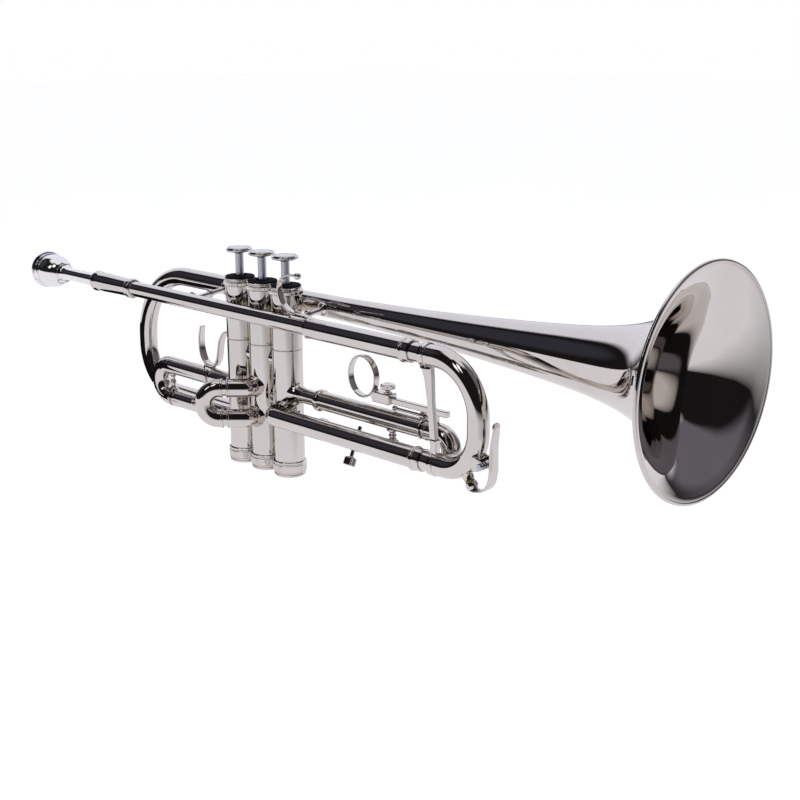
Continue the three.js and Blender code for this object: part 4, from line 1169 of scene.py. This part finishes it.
def build_lyre_screw():
    profile = [
        (0, -13.2), (3.3, -13.2), (3.8, -12.7), (3.8, -12.69, 1), (3.8, -8.6, 1), (3.8, -8.59),
        (3.2, -8.0), (1.6, -7.6), (1.3, -7.2), (1.3, 11.2), (1.0, 11.5), (0, 11.5),
    ]
    screw = placed(turned("z", profile, (0, 0, 0), 48, 0.25), lyre_frame())
    piece("lyre_thumb_screw", [screw], "lyre_screw", "lyre_screw", sharp=32)


# --- inner pieces kept from the CAD


def paint_inner_pieces():
    for index in (1, 2, 3):
        for kind in ("piston", "guide"):
            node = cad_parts[f"valve_{index}_{kind}"]
            node.data.materials.clear()
            node.data.materials.append(PISTON)


# --- studio

CAMERA_AT = (651.3, -536.8, 214.9)
CAMERA_TARGET = (122.6, 0, 6.1)
CAMERA_ROLL = math.radians(-0.1)
LENS = 60.15
FLOOR_Z = -0.30
FLOOR_HALF = 12
TABLE_HALF = 30


def build_camera():
    camera = bpy.data.cameras.new("camera")
    camera.lens = LENS
    camera.sensor_width = 36
    camera.clip_end = 50
    obj = add_object("camera", camera)
    at, target = Vector(CAMERA_AT) * MM, Vector(CAMERA_TARGET) * MM
    look = (target - at).to_track_quat("-Z", "Y").to_matrix().to_4x4()
    obj.matrix_world = Matrix.Translation(at) @ look @ Matrix.Rotation(CAMERA_ROLL, 4, "Z")
    bpy.context.scene.camera = obj


def square(name, half, height):
    mesh = bpy.data.meshes.new(name)
    corners = [(-half, -half, height), (half, -half, height), (half, half, height), (-half, half, height)]
    mesh.from_pydata(corners, [], [(0, 1, 2, 3)])
    return mesh


def build_floor():
    """A pale sheet of paper, which the metal sees as the table in build_table."""
    mesh = square("floor", FLOOR_HALF, FLOOR_Z)
    material, tree, shader = new_material("floor_paper")
    feed(tree, shader, Roughness=0.9, Specular_IOR_Level=0.0,
         Base_Color=spread(tree, noise(tree, 3, 2), (0.93, 0.93, 0.93), (0.95, 0.95, 0.95)),
         Emission_Color=(1, 1, 1, 1), Emission_Strength=0.6)
    mesh.materials.append(material)
    floor = add_object("floor", mesh)
    floor.visible_glossy = False


def sums(tree, operation, *values):
    node = add_node(tree, "ShaderNodeMath")
    node.operation = operation
    for socket, value in zip(node.inputs, values):
        connect(tree, socket, value)
    return node.outputs[0]


def ramp(tree, value, start, end, low=0.0, high=1.0):
    """low before start and high after end, with a soft change between them."""
    node = add_node(tree, "ShaderNodeMapRange", Value=value, From_Min=start, From_Max=end,
                    To_Min=low, To_Max=high)
    node.interpolation_type = "SMOOTHSTEP"
    return node.outputs[0]


def window(tree, value, low, high, blur):
    """1 where value lies between low and high, with soft edges."""
    rise = ramp(tree, value, low - blur, low + blur)
    fall = ramp(tree, value, high - blur, high + blur, 1.0, 0.0)
    return sums(tree, "MULTIPLY", rise, fall)


def tinted(tree, under, share, colour):
    """under with colour laid over it where share is 1."""
    node = add_node(tree, "ShaderNodeMix")
    node.data_type = "RGBA"
    factor, under_socket, over_socket = node.inputs[0], node.inputs[6], node.inputs[7]
    connect(tree, factor, share)
    for socket, value in ((under_socket, under), (over_socket, colour)):
        connect(tree, socket, (*value, 1) if isinstance(value, tuple) else value)
    return node.outputs[2]


# The studio round the trumpet. Each panel is (azimuth from, to, elevation from, to, blur, colour),
# in degrees, laid over those before it. Azimuth 0 is towards -Y and grows towards +X.
DARK_ROOM = (0.012, 0.0115, 0.012)
PANELS = [
    (-75, -45, 14, 36, 6, (0.04, 0.04, 0.055)),
    (96, 172, 5, 62, 9, (0.167, 0.159, 0.195)),
    (172, 270.5, 4, 90, 5.5, (0.93, 0.955, 1.08)),
    (-89, -20, 62, 90, 5, (1.0, 0.99, 1.05)),
    (-20, 172, 74, 90, 5, (1.0, 0.99, 1.05)),
    (-14, -4, 28, 44, 1.0, (1.7, 1.7, 1.75)),
    (0, 15, 44, 62, 1.0, (1.7, 1.7, 1.75)),
]


def sky_colour(tree, azimuth, elevation):
    colour = DARK_ROOM
    for left, right, low, high, blur, light in PANELS:
        share = 0.0
        for lap in (-360, 0, 360):
            if right + lap > -180 and left + lap < 180:
                across = window(tree, azimuth, left + lap, right + lap, blur)
                share = sums(tree, "ADD", share, across)
        up = window(tree, elevation, low, high + 2 * blur, blur)
        colour = tinted(tree, colour, sums(tree, "MULTIPLY", share, up), light)
    return colour


def build_world():
    world = bpy.data.worlds.new("studio")
    world.use_nodes = True
    tree = world.node_tree
    place = add_node(tree, "ShaderNodeTexCoord").outputs["Generated"]
    x, y, z = add_node(tree, "ShaderNodeSeparateXYZ", Vector=place).outputs
    degrees = 180 / math.pi
    turn = sums(tree, "ARCTAN2", x, sums(tree, "MULTIPLY", y, -1.0))
    azimuth = sums(tree, "MULTIPLY", turn, degrees)
    elevation = sums(tree, "MULTIPLY", sums(tree, "ARCSINE", z), degrees)
    sky = sky_colour(tree, azimuth, elevation)
    seen = add_node(tree, "ShaderNodeLightPath").outputs["Is Camera Ray"]
    colour = tinted(tree, sky, seen, (1.0, 1.0, 1.0))
    tree.links.new(colour, tree.nodes["Background"].inputs["Color"])
    bpy.context.scene.world = world


TABLE = (0.93, 0.93, 1.0)
TABLE_BRIGHT_TO = 0.75
TABLE_FALL = 0.95


def build_table():
    """The table as the metal sees it: its light falls off towards the bell's side."""
    mesh = square("table", TABLE_HALF, FLOOR_Z + 0.001)
    material, tree, shader = new_material("table_light")
    tree.nodes.remove(shader)
    place = add_node(tree, "ShaderNodeTexCoord").outputs["Object"]
    x = add_node(tree, "ShaderNodeSeparateXYZ", Vector=place).outputs[0]
    beyond = sums(tree, "MAXIMUM", sums(tree, "SUBTRACT", x, TABLE_BRIGHT_TO), 0.0)
    strength = sums(tree, "DIVIDE", 1.0, sums(tree, "MULTIPLY_ADD", beyond, TABLE_FALL, 1.0))
    light = add_node(tree, "ShaderNodeEmission", Color=(*TABLE, 1), Strength=strength)
    tree.links.new(light.outputs[0], tree.nodes["Material Output"].inputs["Surface"])
    mesh.materials.append(material)
    only_reflected("table", mesh)


def only_reflected(name, mesh):
    """A stage object that shows only in the metal."""
    obj = add_object(name, mesh)
    obj.visible_camera = False
    obj.visible_diffuse = False
    obj.visible_shadow = False


def build_softbox():
    light = bpy.data.lights.new("softbox", "AREA")
    light.shape = "RECTANGLE"
    light.size, light.size_y = 2.4, 1.6
    light.energy = 6
    obj = add_object("softbox", light)
    obj.location = (0.1, 0.1, 2.0)
    obj.visible_glossy = False


FLAG_AT = (-0.157, 0.02)
FLAG_R = 0.07
FLAG_Z = (-0.07, -0.004)
FLAG_ANGLES = range(-130, 1, 5)


def build_flag():
    """A low dark card beside the bow, which shows only as its reflection in the bends."""
    rings = []
    for z in FLAG_Z:
        rings.append([
            (FLAG_AT[0] + FLAG_R * math.sin(math.radians(a)),
             FLAG_AT[1] - FLAG_R * math.cos(math.radians(a)), z)
            for a in FLAG_ANGLES
        ])
    count = len(rings[0])
    mesh = bpy.data.meshes.new("flag")
    mesh.from_pydata(rings[0] + rings[1], [],
                     [(i, i + 1, count + i + 1, count + i) for i in range(count - 1)])
    material, tree, shader = new_material("flag_cloth")
    weave = noise(tree, 600, 4)
    feed(tree, shader, Roughness=1.0, Specular_IOR_Level=0.0,
         Base_Color=spread(tree, weave, (0.006, 0.006, 0.007), (0.014, 0.013, 0.014)))
    mesh.materials.append(material)
    only_reflected("flag", mesh)


# --- making


build_camera()
build_floor()
build_table()
build_world()
build_softbox()
build_flag()
bpy.context.scene.view_settings.view_transform = "Standard"

build_mouthpiece()
build_receiver()
build_leadpipe()
build_pinky_hook()
build_main_outer_tubes()
build_main_crook()
build_main_brace()
build_water_key()
build_valves()
build_bell()
build_bell_bow()
build_bell_braces()
build_first_slide()
build_thumb_saddle()
build_second_slide()
build_third_slide()
build_third_slide_rail()
build_finger_ring()
build_lyre_screw()
paint_inner_pieces()
